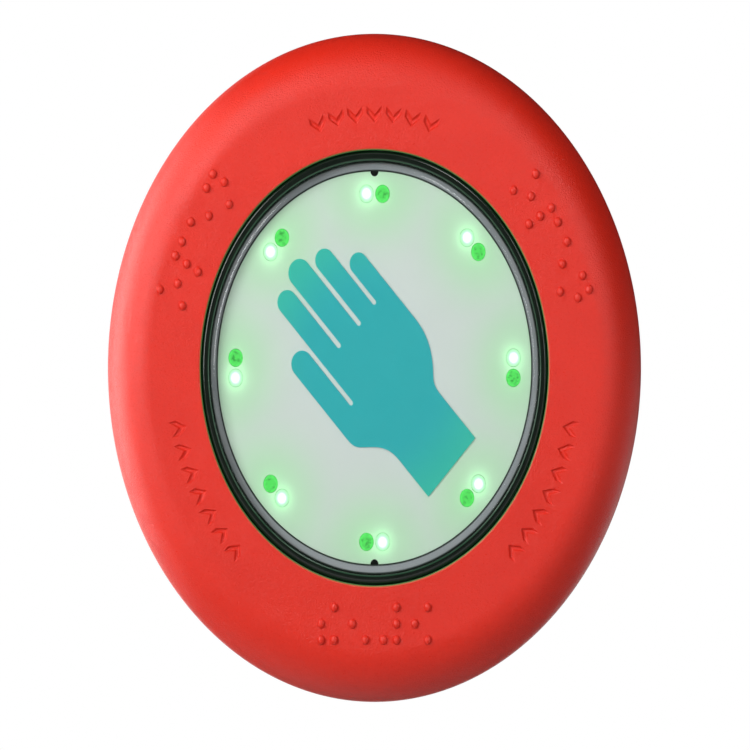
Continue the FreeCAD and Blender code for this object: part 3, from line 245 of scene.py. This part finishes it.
def dot_centres():
    centres = []
    middle = (len(BRAILLE_CELLS) - 1) / 2
    for clock in BRAILLE_CLOCKS:
        for cell, raised in enumerate(BRAILLE_CELLS):
            for dot in raised:
                column, row = divmod(dot - 1, 3)
                along = (cell - middle) * CELL_PITCH + (column - 0.5) * DOT_PITCH
                centres.append(sign_place(clock, along, SIGN_CIRCLE + (1 - row) * DOT_PITCH))
    return centres


def dot_loops(centre):
    """A dome's loops, from the rim on the ring up to just below its top: (points, out)."""
    loops = []
    for step in range(DOT_STEPS):
        turn = math.pi / 2 * step / DOT_STEPS
        radius = DOT_RIM * math.cos(turn)
        rise = DOT_HIGH * math.sin(turn)
        points = [(centre[0] + radius * RATIO * math.sin(a), centre[1] + radius * math.cos(a))
                  for a in (2 * math.pi * k / DOT_SIDES for k in range(DOT_SIDES))]
        loops.append((points, RING_FRONT + rise))
    return loops


def chevron_loops(clock):
    """A sunk chevron's loops, from the rim on the ring down to its floor."""
    half = CHEVRON_WIDE / 2
    top = CHEVRON_HIGH / 2
    corners = [(-half, top - CHEVRON_STROKE), (0, -top - CHEVRON_STROKE / 2),
               (half, top - CHEVRON_STROKE), (half, top), (0, -top + CHEVRON_STROKE / 2), (-half, top)]
    turn = math.radians(clock)
    centre = (SIGN_CIRCLE * RATIO * math.sin(turn), SIGN_CIRCLE * math.cos(turn))
    loops = []
    for inset, depth in CHEVRON_WALL:
        outline = rounded([(a, b, CHEVRON_CORNER) for a, b in inset_outline(corners, inset)], 4)
        points = [(centre[0] + a * math.cos(turn) + b * math.sin(turn),
                   centre[1] - a * math.sin(turn) + b * math.cos(turn)) for a, b in outline]
        loops.append((points, RING_FRONT - depth))
    return loops


def inset_outline(corners, inset):
    """A closed outline with every side moved inwards."""
    area = sum(a[0] * b[1] - b[0] * a[1] for a, b in zip(corners, corners[1:] + corners[:1]))
    side = 1 if area > 0 else -1
    moved = []
    for index, here in enumerate(corners):
        before, after = corners[index - 1], corners[(index + 1) % len(corners)]
        first = Vector((here[0] - before[0], here[1] - before[1])).normalized()
        second = Vector((after[0] - here[0], after[1] - here[1])).normalized()
        normal_one = Vector((-first.y, first.x)) * side
        normal_two = Vector((-second.y, second.x)) * side
        bisector = (normal_one + normal_two).normalized()
        reach = inset / max(bisector.dot(normal_one), 0.2)
        moved.append((here[0] + bisector.x * reach, here[1] + bisector.y * reach))
    return moved


def band_between(outer, inner, islands, out):
    """Triangles over a flat band between two loops, leaving out the islands."""
    points = []
    edges = []
    for loop in [outer, inner] + islands:
        start = len(points)
        points += [Vector(p) for p in loop]
        edges += [(start + k, start + (k + 1) % len(loop)) for k in range(len(loop))]
    made, _, triangles, *_ = delaunay_2d_cdt(points, edges, [], 0, 1e-6)
    boxes = [(min(p[0] for p in i), max(p[0] for p in i), min(p[1] for p in i),
              max(p[1] for p in i), i) for i in islands]
    inner_half = inner[0][1]
    kept = []
    for triangle in triangles:
        middle = sum((made[k] for k in triangle), Vector((0, 0))) / 3
        if math.hypot(middle.x / RATIO, middle.y) < inner_half * math.cos(math.pi / len(inner)):
            if all(math.hypot(made[k].x / RATIO, made[k].y) < inner_half + 0.01 for k in triangle):
                continue
        if any(x0 < middle.x < x1 and z0 < middle.y < z1 and inside(middle, loop)
               for x0, x1, z0, z1, loop in boxes):
            continue
        kept.append(tuple(triangle))
    return [(v.x, -out, v.y) for v in made], kept


def inside(point, loop):
    found = False
    for (x0, z0), (x1, z1) in zip(loop, loop[1:] + loop[:1]):
        if (z0 > point.y) != (z1 > point.y):
            if point.x < (x1 - x0) * (point.y - z0) / (z1 - z0) + x0:
                found = not found
    return found


class Shell:
    """Vertices and faces gathered for one mesh."""

    def __init__(self):
        self.vertices = []
        self.faces = []

    def add(self, vertices, faces):
        start = len(self.vertices)
        self.vertices += vertices
        self.faces += [tuple(start + k for k in face) for face in faces]

    def skin(self, loops, closed=False, cap=False):
        """Quads between loops of equal length; cap fills the last loop."""
        count = len(loops[0])
        start = len(self.vertices)
        for loop in loops:
            self.vertices += loop
        rows = len(loops) if closed else len(loops) - 1
        for row in range(rows):
            near = start + row * count
            far = start + (row + 1) % len(loops) * count
            for k in range(count):
                self.faces.append((near + k, near + (k + 1) % count, far + (k + 1) % count, far + k))
        if cap:
            last = start + (len(loops) - 1) * count
            self.faces.append(tuple(last + k for k in range(count)))

    def oval_skin(self, outline, segments, closed=False):
        self.skin([flat_loop(oval_points(half, segments), out) for half, out in outline], closed)

    def tube(self, centre, outer, inner, rear, front, segments=48):
        """A closed tube along the out direction."""
        loops = []
        for radius, out in ((outer, rear), (outer, front), (inner, front), (inner, rear)):
            loops.append([(centre[0] + radius * math.sin(a), -out, centre[1] + radius * math.cos(a))
                          for a in (2 * math.pi * k / segments for k in range(segments))])
        self.skin(loops, closed=True)

    def build(self, name):
        return new_object(name, self.vertices, self.faces)


def arc(centre, radius, start, end, steps):
    """Points on a quarter round, in degrees from straight out towards the rim."""
    points = []
    for step in range(steps + 1):
        angle = math.radians(start + (end - start) * step / steps)
        points.append((centre[0] + radius * math.sin(angle), centre[1] + radius * math.cos(angle)))
    return points


def make_ring():
    """The housing ring, with domed tactile dots and soft-edged sunk chevrons."""
    shell = Shell()
    shoulder = arc((BAND_OUTER, RING_FRONT - SHOULDER), SHOULDER, 0, 90, 48)
    mouth = [(MOUTH_HALF + MOUTH_EDGE - MOUTH_EDGE * math.cos(a), RING_FRONT - MOUTH_EDGE
              + MOUTH_EDGE * math.sin(a)) for a in (math.pi / 2 * k / 8 for k in range(9))]
    rest = [(RING_HALF, RING_REAR + FOOT_EASE), (RING_HALF - FOOT_STEP, RING_REAR + FOOT_STEP),
            (RING_HALF - FOOT_EASE, RING_REAR), (CHANNEL_OUTER, RING_REAR), (CHANNEL_OUTER, CHANNEL_STEP),
            (CHANNEL_UPPER, CHANNEL_STEP), (CHANNEL_UPPER, CHANNEL_FRONT),
            (CHANNEL_INNER, CHANNEL_FRONT), (CHANNEL_INNER, FLANGE_FRONT),
            (CAVITY_HALF, FLANGE_FRONT), (CAVITY_HALF, STOP_FACE), (MOUTH_HALF, STOP_FACE)]
    shell.oval_skin(shoulder + rest + mouth, RING_SEGMENTS)

    islands = [dot_loops(centre) for centre in dot_centres()]
    for clock in CHEVRON_CLOCKS:
        islands += [chevron_loops(clock + step * CHEVRON_PITCH) for step in range(-3, 4)]
    outer = oval_points(BAND_OUTER, RING_SEGMENTS)
    inner = oval_points(MOUTH_HALF + MOUTH_EDGE, RING_SEGMENTS)
    shell.add(*band_between(outer, inner, [loops[0][0] for loops in islands], RING_FRONT))
    for loops in islands:
        shell.skin([flat_loop(points, out) for points, out in loops], cap=True)

    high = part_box("threaded_inserts")[1] / MM
    for side in (-1, 1):
        for level in (-1, 1):
            centre = (side * (high.x - INSERT_RADIUS), level * (high.z - INSERT_RADIUS))
            shell.tube(centre, FIXING_BOSS, INSERT_RADIUS, RING_REAR, CHANNEL_STEP)
    for clock in (0, 90, 180, 270):
        turn = math.radians(clock)
        centre = (SCREW_HALF * RATIO * math.sin(turn), SCREW_HALF * math.cos(turn))
        shell.tube(centre, SCREW_BOSS, SCREW_CORE, FLANGE_FRONT, CHANNEL_FRONT)
    ring = shell.build("ring_body")
    ring.data.set_sharp_from_angle(angle=math.radians(CREASE))
    for face in ring.data.polygons:
        face.use_smooth = abs(face.normal.y) < FLAT
    finish(ring, "housing", "housing_red", red_plastic(), "housing_ring")


def finish(piece, body, slot, material, *nodes):
    """Give a piece its material and body, and let it stand for CAD nodes."""
    piece.data.materials.clear()
    piece.data.materials.append(material)
    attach(piece, body)
    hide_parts(*nodes)


def make_cap_frame():
    """The cap's black frame, with its edges rounded over."""
    flange_rear = rear_of("cap_frame")
    flange_front = flange_rear + FLANGE_THICK
    corners = [(FRAME_HALF, FRAME_LAND, FRAME_ROUND), (FRAME_HALF, flange_front, SMALL_ROUND),
               (FLANGE_HALF, flange_front, FLANGE_ROUND), (FLANGE_HALF, flange_rear, FLANGE_ROUND),
               (FRAME_BORE, flange_rear, SMALL_ROUND), (FRAME_BORE, LEDGE_REAR, 0),
               (LEDGE_HALF, LEDGE_REAR, 0), (LEDGE_HALF, PLATE_FRONT, SMALL_ROUND),
               (WINDOW_SEAT, PLATE_FRONT, 0), (WINDOW_SEAT, FRAME_LAND, BORE_ROUND)]
    outline = [tuple(p) for p in rounded(corners, 5)]
    shell = Shell()
    shell.oval_skin(outline, RING_SEGMENTS, closed=True)
    frame_piece = smooth(shell.build("cap_frame_body"), CREASE)
    finish(frame_piece, "press_cap", "frame_black", black_frame(), "cap_frame")


def make_window():
    """The clear window: flat, with a broad round over at its front edge."""
    rear = WINDOW_REAR + WINDOW_LIFT
    outline = [(0.0, WINDOW_FRONT), (WINDOW_HALF - WINDOW_FLAT, WINDOW_FRONT)]
    outline += arc((WINDOW_HALF - WINDOW_EDGE, WINDOW_FRONT - WINDOW_EDGE), WINDOW_EDGE, 0, 90, EDGE_STEPS)
    outline += [(WINDOW_HALF, rear), (WINDOW_HALF - WINDOW_FLAT, rear), (0.0, rear)]
    shell = Shell()
    shell.oval_skin(outline, RING_SEGMENTS)
    window = smooth(shell.build("window_body"), CREASE)
    finish(window, "press_cap", "window_clear", clear_window(), "lens_window")


def squash_springs():
    """The four return springs, as real coils in a mesh of their own."""
    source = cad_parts["return_springs"]
    springs = bpy.data.objects.new("return_coils", source.data.copy())
    bpy.context.scene.collection.objects.link(springs)
    finish(springs, "housing", "spring_steel", metal("spring_steel", (0.6, 0.6, 0.62), 0.25),
           "return_springs")
    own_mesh(springs)


# ---------------------------------------------------------------- shader fields


class Field:
    """A number that varies over a surface, as a chain of math nodes."""

    def __init__(self, tree, socket):
        self.tree = tree
        self.socket = socket

    def math(self, operation, *others):
        node = self.tree.nodes.new("ShaderNodeMath")
        node.operation = operation
        for place, value in enumerate((self,) + others):
            if isinstance(value, Field):
                self.tree.links.new(value.socket, node.inputs[place])
            else:
                node.inputs[place].default_value = value
        return Field(self.tree, node.outputs[0])

    def __add__(self, other):
        return self.math("ADD", other)

    def __sub__(self, other):
        return self.math("SUBTRACT", other)

    def __mul__(self, other):
        return self.math("MULTIPLY", other)

    def __truediv__(self, other):
        return self.math("DIVIDE", other)

    def squared(self):
        return self * self

    def smooth(self, low, high, start=0.0, end=1.0):
        """A smooth step from start to end as this field goes from low to high."""
        node = self.tree.nodes.new("ShaderNodeMapRange")
        node.interpolation_type = "SMOOTHSTEP"
        for key, value in (("From Min", low), ("From Max", high), ("To Min", start), ("To Max", end)):
            node.inputs[key].default_value = value
        self.tree.links.new(self.socket, node.inputs["Value"])
        return Field(self.tree, node.outputs["Result"])

    def falloff(self, width):
        """1 where this field is 0, falling as a bell of that width."""
        scaled = self / width
        return (scaled.squared() * -1.0).math("EXPONENT")


class Surface:
    """A material under construction: its tree, its shader and its position fields."""

    def __init__(self, name):
        self.material = bpy.data.materials.new(name)
        self.material.use_nodes = True
        self.tree = self.material.node_tree
        self.shader = self.tree.nodes["Principled BSDF"]
        self.output = self.tree.nodes["Material Output"]
        coordinates = self.tree.nodes.new("ShaderNodeTexCoord")
        scaled = self.tree.nodes.new("ShaderNodeVectorMath")
        scaled.operation = "SCALE"
        scaled.inputs["Scale"].default_value = 1 / MM
        self.tree.links.new(coordinates.outputs["Object"], scaled.inputs[0])
        self.position = scaled.outputs[0]

    def set(self, **values):
        """Shader sockets by name, with _ for a blank."""
        for key, value in values.items():
            socket = self.shader.inputs[key.replace("_", " ")]
            if isinstance(value, Field):
                self.tree.links.new(value.socket, socket)
            elif isinstance(value, bpy.types.NodeSocket):
                self.tree.links.new(value, socket)
            elif hasattr(value, "__len__"):
                socket.default_value = (*value, 1.0)
            else:
                socket.default_value = value
        return self

    def place(self):
        """Across, out and up, in millimetres."""
        node = self.tree.nodes.new("ShaderNodeSeparateXYZ")
        self.tree.links.new(self.position, node.inputs[0])
        across, back, up = (Field(self.tree, socket) for socket in node.outputs)
        return across, back * -1.0, up

    def noise(self, size, detail=2.0, roughness=0.5):
        """Noise whose features are about size millimetres."""
        node = self.tree.nodes.new("ShaderNodeTexNoise")
        node.inputs["Scale"].default_value = 1 / size
        node.inputs["Detail"].default_value = detail
        node.inputs["Roughness"].default_value = roughness
        self.tree.links.new(self.position, node.inputs["Vector"])
        return Field(self.tree, node.outputs["Fac"])

    def mix(self, share, first, second):
        node = self.tree.nodes.new("ShaderNodeMix")
        node.data_type = "RGBA"
        self.tree.links.new(share.socket, node.inputs[0])
        for key, value in ((6, first), (7, second)):
            if isinstance(value, bpy.types.NodeSocket):
                self.tree.links.new(value, node.inputs[key])
            else:
                node.inputs[key].default_value = (*value, 1.0)
        return node.outputs[2]

    def bump(self, height, distance, strength=1.0):
        """Bump from a field, with distance in millimetres for a field of 0 to 1."""
        node = self.tree.nodes.new("ShaderNodeBump")
        node.inputs["Distance"].default_value = distance * MM
        node.inputs["Strength"].default_value = strength
        self.tree.links.new(height.socket, node.inputs["Height"])
        self.tree.links.new(node.outputs[0], self.shader.inputs["Normal"])
        return self

    def oval_radius(self):
        """The half height of the oval through a point, and the clock angle of the point."""
        across, _, up = self.place()
        wide = across / RATIO
        radius = (wide.squared() + up.squared()).math("SQRT")
        return radius, wide.math("ARCTAN2", up)

    def lamp_distances(self):
        """Distances to the nearest pair's bright and dim lamp, and that pair's own frame."""
        radius, clock = self.oval_radius()
        turn = clock.math("WRAP", math.pi / 8, -math.pi / 8)
        along = radius * turn.math("SINE")
        outward = radius * turn.math("COSINE") - LAMP_CIRCLE
        distances = []
        for side in (-1, 1):
            offset = along - side * LAMP_SIDE
            distances.append((offset.squared() + outward.squared()).math("SQRT"))
        return distances[0], distances[1], along, outward


def paint(node, material):
    """Give a CAD node its material, in every slot."""
    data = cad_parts[node].data
    data.materials.clear()
    data.materials.append(material)


def moulded(name, colour, roughness=0.5, grain=0.35, depth=0.02, variation=0.12):
    """Moulded plastic: a fine grain, and a slow drift of its colour."""
    surface = Surface(name)
    darker = tuple(c * (1 - variation) for c in colour)
    lighter = tuple(min(1, c * (1 + variation)) for c in colour)
    drift = surface.noise(14, 3)
    surface.set(Base_Color=surface.mix(drift, darker, lighter))
    fine = surface.noise(grain, 2)
    surface.set(Roughness=fine * 0.12 + (roughness - 0.06))
    surface.bump(fine, depth)
    return surface.material


def metal(name, colour, roughness=0.3, scratch=0.6):
    """Plated or machined metal with fine wear in its roughness."""
    surface = Surface(name)
    darker = tuple(c * 0.82 for c in colour)
    wear = surface.noise(scratch, 4, 0.6)
    surface.set(Base_Color=surface.mix(wear, darker, colour), Metallic=1.0)
    surface.set(Roughness=wear * 0.2 + (roughness - 0.1))
    surface.bump(wear, 0.008)
    return surface.material


def red_plastic():
    """The ring: grained red moulding, with a green glow painted into its colour and emission just where it
    meets the cap.
    """
    surface = Surface("housing_red")
    radius, _ = surface.oval_radius()
    drift = surface.noise(9, 3)
    speck = surface.noise(0.5, 2)
    red = surface.mix(drift * 0.6 + speck * 0.4, (0.64, 0.016, 0.006), (0.83, 0.027, 0.011))
    # painted glow: edge marks where the lamps' green light is painted onto the ring, in colour and emission
    edge = (radius - MOUTH_HALF).falloff(0.20)
    surface.set(Base_Color=surface.mix(edge, red, (0.05, 0.20, 0.07)), Specular_IOR_Level=0.42)
    fine = surface.noise(0.26, 3, 0.7)
    surface.set(Roughness=fine * 0.24 + 0.19)
    surface.bump(fine, 0.10)
    surface.set(Emission_Color=(0.02, 0.60, 0.10), Emission_Strength=edge * 0.10)
    return surface.material


def black_frame():
    surface = Surface("frame_black")
    radius, _ = surface.oval_radius()
    haze = surface.noise(2.5, 3)
    surface.set(Base_Color=surface.mix(haze, (0.004, 0.007, 0.005), (0.010, 0.016, 0.011)))
    surface.set(Roughness=haze * 0.10 + 0.10, Specular_IOR_Level=0.5)
    # painted glow: a thin green emission line on the frame at GLOW_RADIUS, for the lamps' light at its edge
    line = (radius - GLOW_RADIUS).falloff(0.10)
    surface.set(Emission_Color=(0.12, 0.45, 0.22), Emission_Strength=line * 0.13)
    return surface.material


def border_ink():
    """The black border ink, with a painted reflection: a grey ring under the window's rounded edge."""
    surface = Surface("border_ink")
    radius, _ = surface.oval_radius()
    # painted reflection: bead is the grey ring that stands in for the window edge's reflection
    bead = radius.smooth(*BEAD_IN) * radius.smooth(*BEAD_OUT, 1.0, 0.0)
    cloud = surface.noise(3, 3)
    grey = surface.mix(cloud, (0.33, 0.345, 0.375), (0.38, 0.395, 0.425))
    surface.set(Base_Color=surface.mix(bead, (0.01, 0.02, 0.014), grey))
    surface.set(Roughness=cloud * 0.1 + 0.35)
    return surface.material


def symbol_white():
    """The diffuser: pale grey, with painted light: the lamps' green glow spreading from each pair and
    towards the rim, painted into its colour, and an emission strongest near the lamps and faint all over.
    """
    surface = Surface("plate_white")
    bright, dim, along, outward = surface.lamp_distances()
    radius, _ = surface.oval_radius()
    # painted glow: spread, rim, halo and near paint the lamps' light onto the plate
    spread = ((along * 0.7).squared() + (outward + 1.0).squared()).math("SQRT").falloff(6.5)
    rim = radius.smooth(23, 31)
    halo = bright.falloff(2.1)
    near = dim.falloff(1.9)
    green = spread * 0.60 + rim * 0.12
    cloud = surface.noise(6, 2)
    pale = surface.mix(cloud, (0.66, 0.69, 0.685), (0.70, 0.73, 0.725))
    surface.set(Base_Color=surface.mix(green.math("MINIMUM", 1.0), pale, (0.36, 0.86, 0.37)))
    surface.set(Roughness=cloud * 0.1 + 0.45)
    lit = surface.mix(halo.math("MAXIMUM", near), (0.62, 0.68, 0.66), (0.38, 1.0, 0.44))
    surface.set(Emission_Color=lit)
    surface.set(Emission_Strength=halo * 0.60 + near * 0.16 + 0.105)
    return surface.material


def pipe(name, bright_one):
    """A lit light pipe: white hot in the middle, or green with the lamp's dark grains."""
    surface = Surface(name)
    bright, dim, _, _ = surface.lamp_distances()
    grain = surface.noise(0.5, 2)
    surface.set(Roughness=grain * 0.1 + 0.15)
    if bright_one:
        core = bright.smooth(0.35, 1.10)
        skirt = bright.smooth(0.9, PIPE_HALF)
        hot = surface.mix(core, (1.0, 1.0, 1.0), (0.42, 1.0, 0.60))
        surface.set(Base_Color=(0.5, 0.8, 0.55), Emission_Color=surface.mix(skirt, hot, (0.30, 0.88, 0.36)))
        surface.set(Emission_Strength=core * -0.85 + 1.45 + skirt * -0.12)
        return surface.material
    spots = surface.noise(0.5, 3, 0.7).smooth(0.34, 0.50)
    rim = dim.smooth(0.7, 1.2)
    lit = surface.mix(rim, (0.08, 0.72, 0.10), (0.11, 0.84, 0.14))
    dark = surface.mix(rim, (0.020, 0.26, 0.030), (0.07, 0.62, 0.09))
    surface.set(Base_Color=(0.05, 0.25, 0.06), Emission_Color=surface.mix(spots, dark, lit))
    surface.set(Emission_Strength=grain * 0.1 + 0.80)
    return surface.material


def carrier_plastic():
    """The cap's carrier: natural plastic, with painted shade in black under the plate's notches."""
    surface = Surface("carrier_plastic")
    radius, _ = surface.oval_radius()
    cloud = surface.noise(3, 2)
    pale = surface.mix(cloud, (0.64, 0.67, 0.64), (0.74, 0.77, 0.74))
    # painted shade: black beyond these radii stands in for the dark gap seen through the notches
    surface.set(Base_Color=surface.mix(radius.smooth(*NOTCH_PAINTED_SHADE), pale, (0.006, 0.009, 0.007)))
    surface.set(Roughness=cloud * 0.1 + 0.45)
    surface.bump(cloud, 0.01)
    return surface.material


def hand_ink():
    """The printed hand: teal, with the lamps' light painted on as a greener tint towards its outer parts."""
    surface = Surface("hand_ink")
    radius, _ = surface.oval_radius()
    cloud = surface.noise(4, 2)
    teal = surface.mix(cloud, (0.026, 0.46, 0.51), (0.032, 0.49, 0.54))
    # painted light: the hand turns greener towards its outer parts, where the lamps' light falls
    surface.set(Base_Color=surface.mix(radius.smooth(12, 24), teal, (0.045, 0.58, 0.46)))
    surface.set(Roughness=cloud * 0.1 + 0.4)
    return surface.material


def clear_window():
    """Polished clear plastic: mostly see-through, mirroring more at a slant."""
    surface = Surface("window_clear")
    nodes = surface.tree.nodes
    clear = nodes.new("ShaderNodeBsdfTransparent")
    clear.inputs[0].default_value = (0.97, 0.985, 0.975, 1.0)
    gloss = nodes.new("ShaderNodeBsdfGlossy")
    haze = surface.noise(8, 2)
    surface.tree.links.new((haze * 0.04 + 0.09).socket, gloss.inputs["Roughness"])
    slant = nodes.new("ShaderNodeLayerWeight")
    slant.inputs["Blend"].default_value = 0.5
    mirrored = Field(surface.tree, slant.outputs["Facing"]).math("POWER", 5.0) * 0.96 + 0.04
    mixer = nodes.new("ShaderNodeMixShader")
    surface.tree.links.new(mirrored.socket, mixer.inputs[0])
    surface.tree.links.new(clear.outputs[0], mixer.inputs[1])
    surface.tree.links.new(gloss.outputs[0], mixer.inputs[2])
    surface.tree.links.new(mixer.outputs[0], surface.output.inputs[0])
    nodes.remove(surface.shader)
    return surface.material


# ---------------------------------------------------------------- carried-over CAD nodes


def paint_nodes():
    rubber = moulded("seal_rubber", (0.022, 0.022, 0.023), 0.62, 0.6, 0.03)
    steel = metal("screw_steel", (0.55, 0.56, 0.58))
    black = moulded("gland_black", (0.028, 0.028, 0.030), 0.45, 0.5, 0.02)
    for node in ("panel_gasket", "housing_oring", "wiper_seal", "bump_stops", "gland_washer", "gland_seal"):
        paint(node, rubber)
    for node in ("housing_screws", "board_screws", "switch_screws", "terminal_screws"):
        paint(node, steel)
    for node in ("gland_body", "gland_locknut", "gland_nut"):
        paint(node, black)
    paint("rear_housing", moulded("pot_black", (0.024, 0.024, 0.026), 0.5, 0.4, 0.03))
    paint("threaded_inserts", metal("insert_brass", (0.75, 0.55, 0.24)))
    paint("guide_bushes", moulded("bush_plastic", (0.72, 0.70, 0.62)))
    paint("led_board", moulded("board_laminate", (0.02, 0.20, 0.06), 0.35))
    paint("leds_bright", moulded("led_bright", (0.75, 0.92, 0.76), 0.2))
    paint("leds_dim", moulded("led_dim", (0.28, 0.75, 0.28), 0.2))
    chip = moulded("chip_black", (0.03, 0.03, 0.034))
    paint("led_resistors", chip)
    paint("led_driver", chip)
    paint("terminal_block", moulded("terminal_green", (0.04, 0.27, 0.10)))
    paint("switch_body", moulded("switch_case", (0.045, 0.045, 0.05)))
    paint("switch_terminals", metal("terminal_metal", (0.70, 0.62, 0.42)))
    paint("switch_leads", moulded("lead_insulation", (0.45, 0.03, 0.025)))
    paint("switch_plunger", moulded("plunger_red", (0.55, 0.05, 0.04), 0.3))
    paint("cap_carrier", carrier_plastic())
    paint("lens_border", border_ink())
    paint("symbol_plate", symbol_white())
    paint("hand_symbol", hand_ink())
    paint("light_pipes_bright", pipe("pipe_bright", True))
    paint("light_pipes_dim", pipe("pipe_dim", False))


# ---------------------------------------------------------------- studio


def area_light(name, azimuth, elevation, distance, wide, high, power):
    """A soft box that faces the button; azimuth 0 is in front, 90 to the right."""
    light = bpy.data.lights.new(name, "AREA")
    light.shape = "RECTANGLE"
    light.size = wide
    light.size_y = high
    light.energy = power
    lamp = bpy.data.objects.new(name, light)
    bpy.context.scene.collection.objects.link(lamp)
    a, e = math.radians(azimuth), math.radians(elevation)
    lamp.location = Vector((math.sin(a) * math.cos(e), -math.cos(a) * math.cos(e), math.sin(e))) * distance
    lamp.rotation_mode = "QUATERNION"
    lamp.rotation_quaternion = lamp.location.to_track_quat("Z", "Y")


def make_floor():
    """A pale floor that brightens to the backdrop's white away from the button."""
    mesh = bpy.data.meshes.new("floor")
    corners = ((-1, -1), (1, -1), (1, 1), (-1, 1))
    mesh.from_pydata([(x * FLOOR_HALF, y * FLOOR_HALF, FLOOR_LEVEL) for x, y in corners], [], [(0, 1, 2, 3)])
    floor = bpy.data.objects.new("floor", mesh)
    bpy.context.scene.collection.objects.link(floor)
    surface = Surface("floor_pale")
    grain = surface.noise(40, 3)
    surface.set(Base_Color=surface.mix(grain, (0.78, 0.78, 0.77), (0.82, 0.82, 0.81)), Roughness=0.7)
    across, out, _ = surface.place()
    distance = (across.squared() + out.squared()).math("SQRT")
    surface.set(Emission_Color=(1.0, 1.0, 1.0), Emission_Strength=distance.smooth(*FLOOR_FADE) * FLOOR_WHITE)
    mesh.materials.append(surface.material)


def make_world():
    """White to the camera, and a low even fill to the object."""
    world = bpy.data.worlds.new("studio")
    bpy.context.scene.world = world
    world.use_nodes = True
    tree = world.node_tree
    background = tree.nodes["Background"]
    background.inputs["Color"].default_value = (1.0, 0.99, 0.98, 1.0)
    background.inputs["Strength"].default_value = FILL_STRENGTH
    seen = tree.nodes.new("ShaderNodeBackground")
    seen.inputs["Color"].default_value = (1.0, 1.0, 1.0, 1.0)
    seen.inputs["Strength"].default_value = 1.0
    path = tree.nodes.new("ShaderNodeLightPath")
    mixer = tree.nodes.new("ShaderNodeMixShader")
    tree.links.new(path.outputs["Is Camera Ray"], mixer.inputs[0])
    tree.links.new(background.outputs[0], mixer.inputs[1])
    tree.links.new(seen.outputs[0], mixer.inputs[2])
    tree.links.new(mixer.outputs[0], tree.nodes["World Output"].inputs[0])


def make_camera():
    """Straight on and far away; the button's centre is a little above the picture's."""
    data = bpy.data.cameras.new("camera")
    data.sensor_width = SENSOR_WIDE
    data.lens = SENSOR_WIDE * (CAMERA_DISTANCE - BAND_OUT * MM) / (VIEW_WIDE * MM)
    data.clip_end = 20
    camera = bpy.data.objects.new("camera", data)
    bpy.context.scene.collection.objects.link(camera)
    camera.location = (CAMERA_ACROSS * MM, -CAMERA_DISTANCE, CAMERA_UP * MM)
    camera.rotation_euler = (math.pi / 2, 0, 0)
    bpy.context.scene.camera = camera


paint_nodes()
make_ring()
make_cap_frame()
make_window()
squash_springs()
make_floor()
make_world()
make_camera()
for light in LIGHTS:
    area_light(*light)
bpy.context.scene.view_settings.view_transform = "Standard"
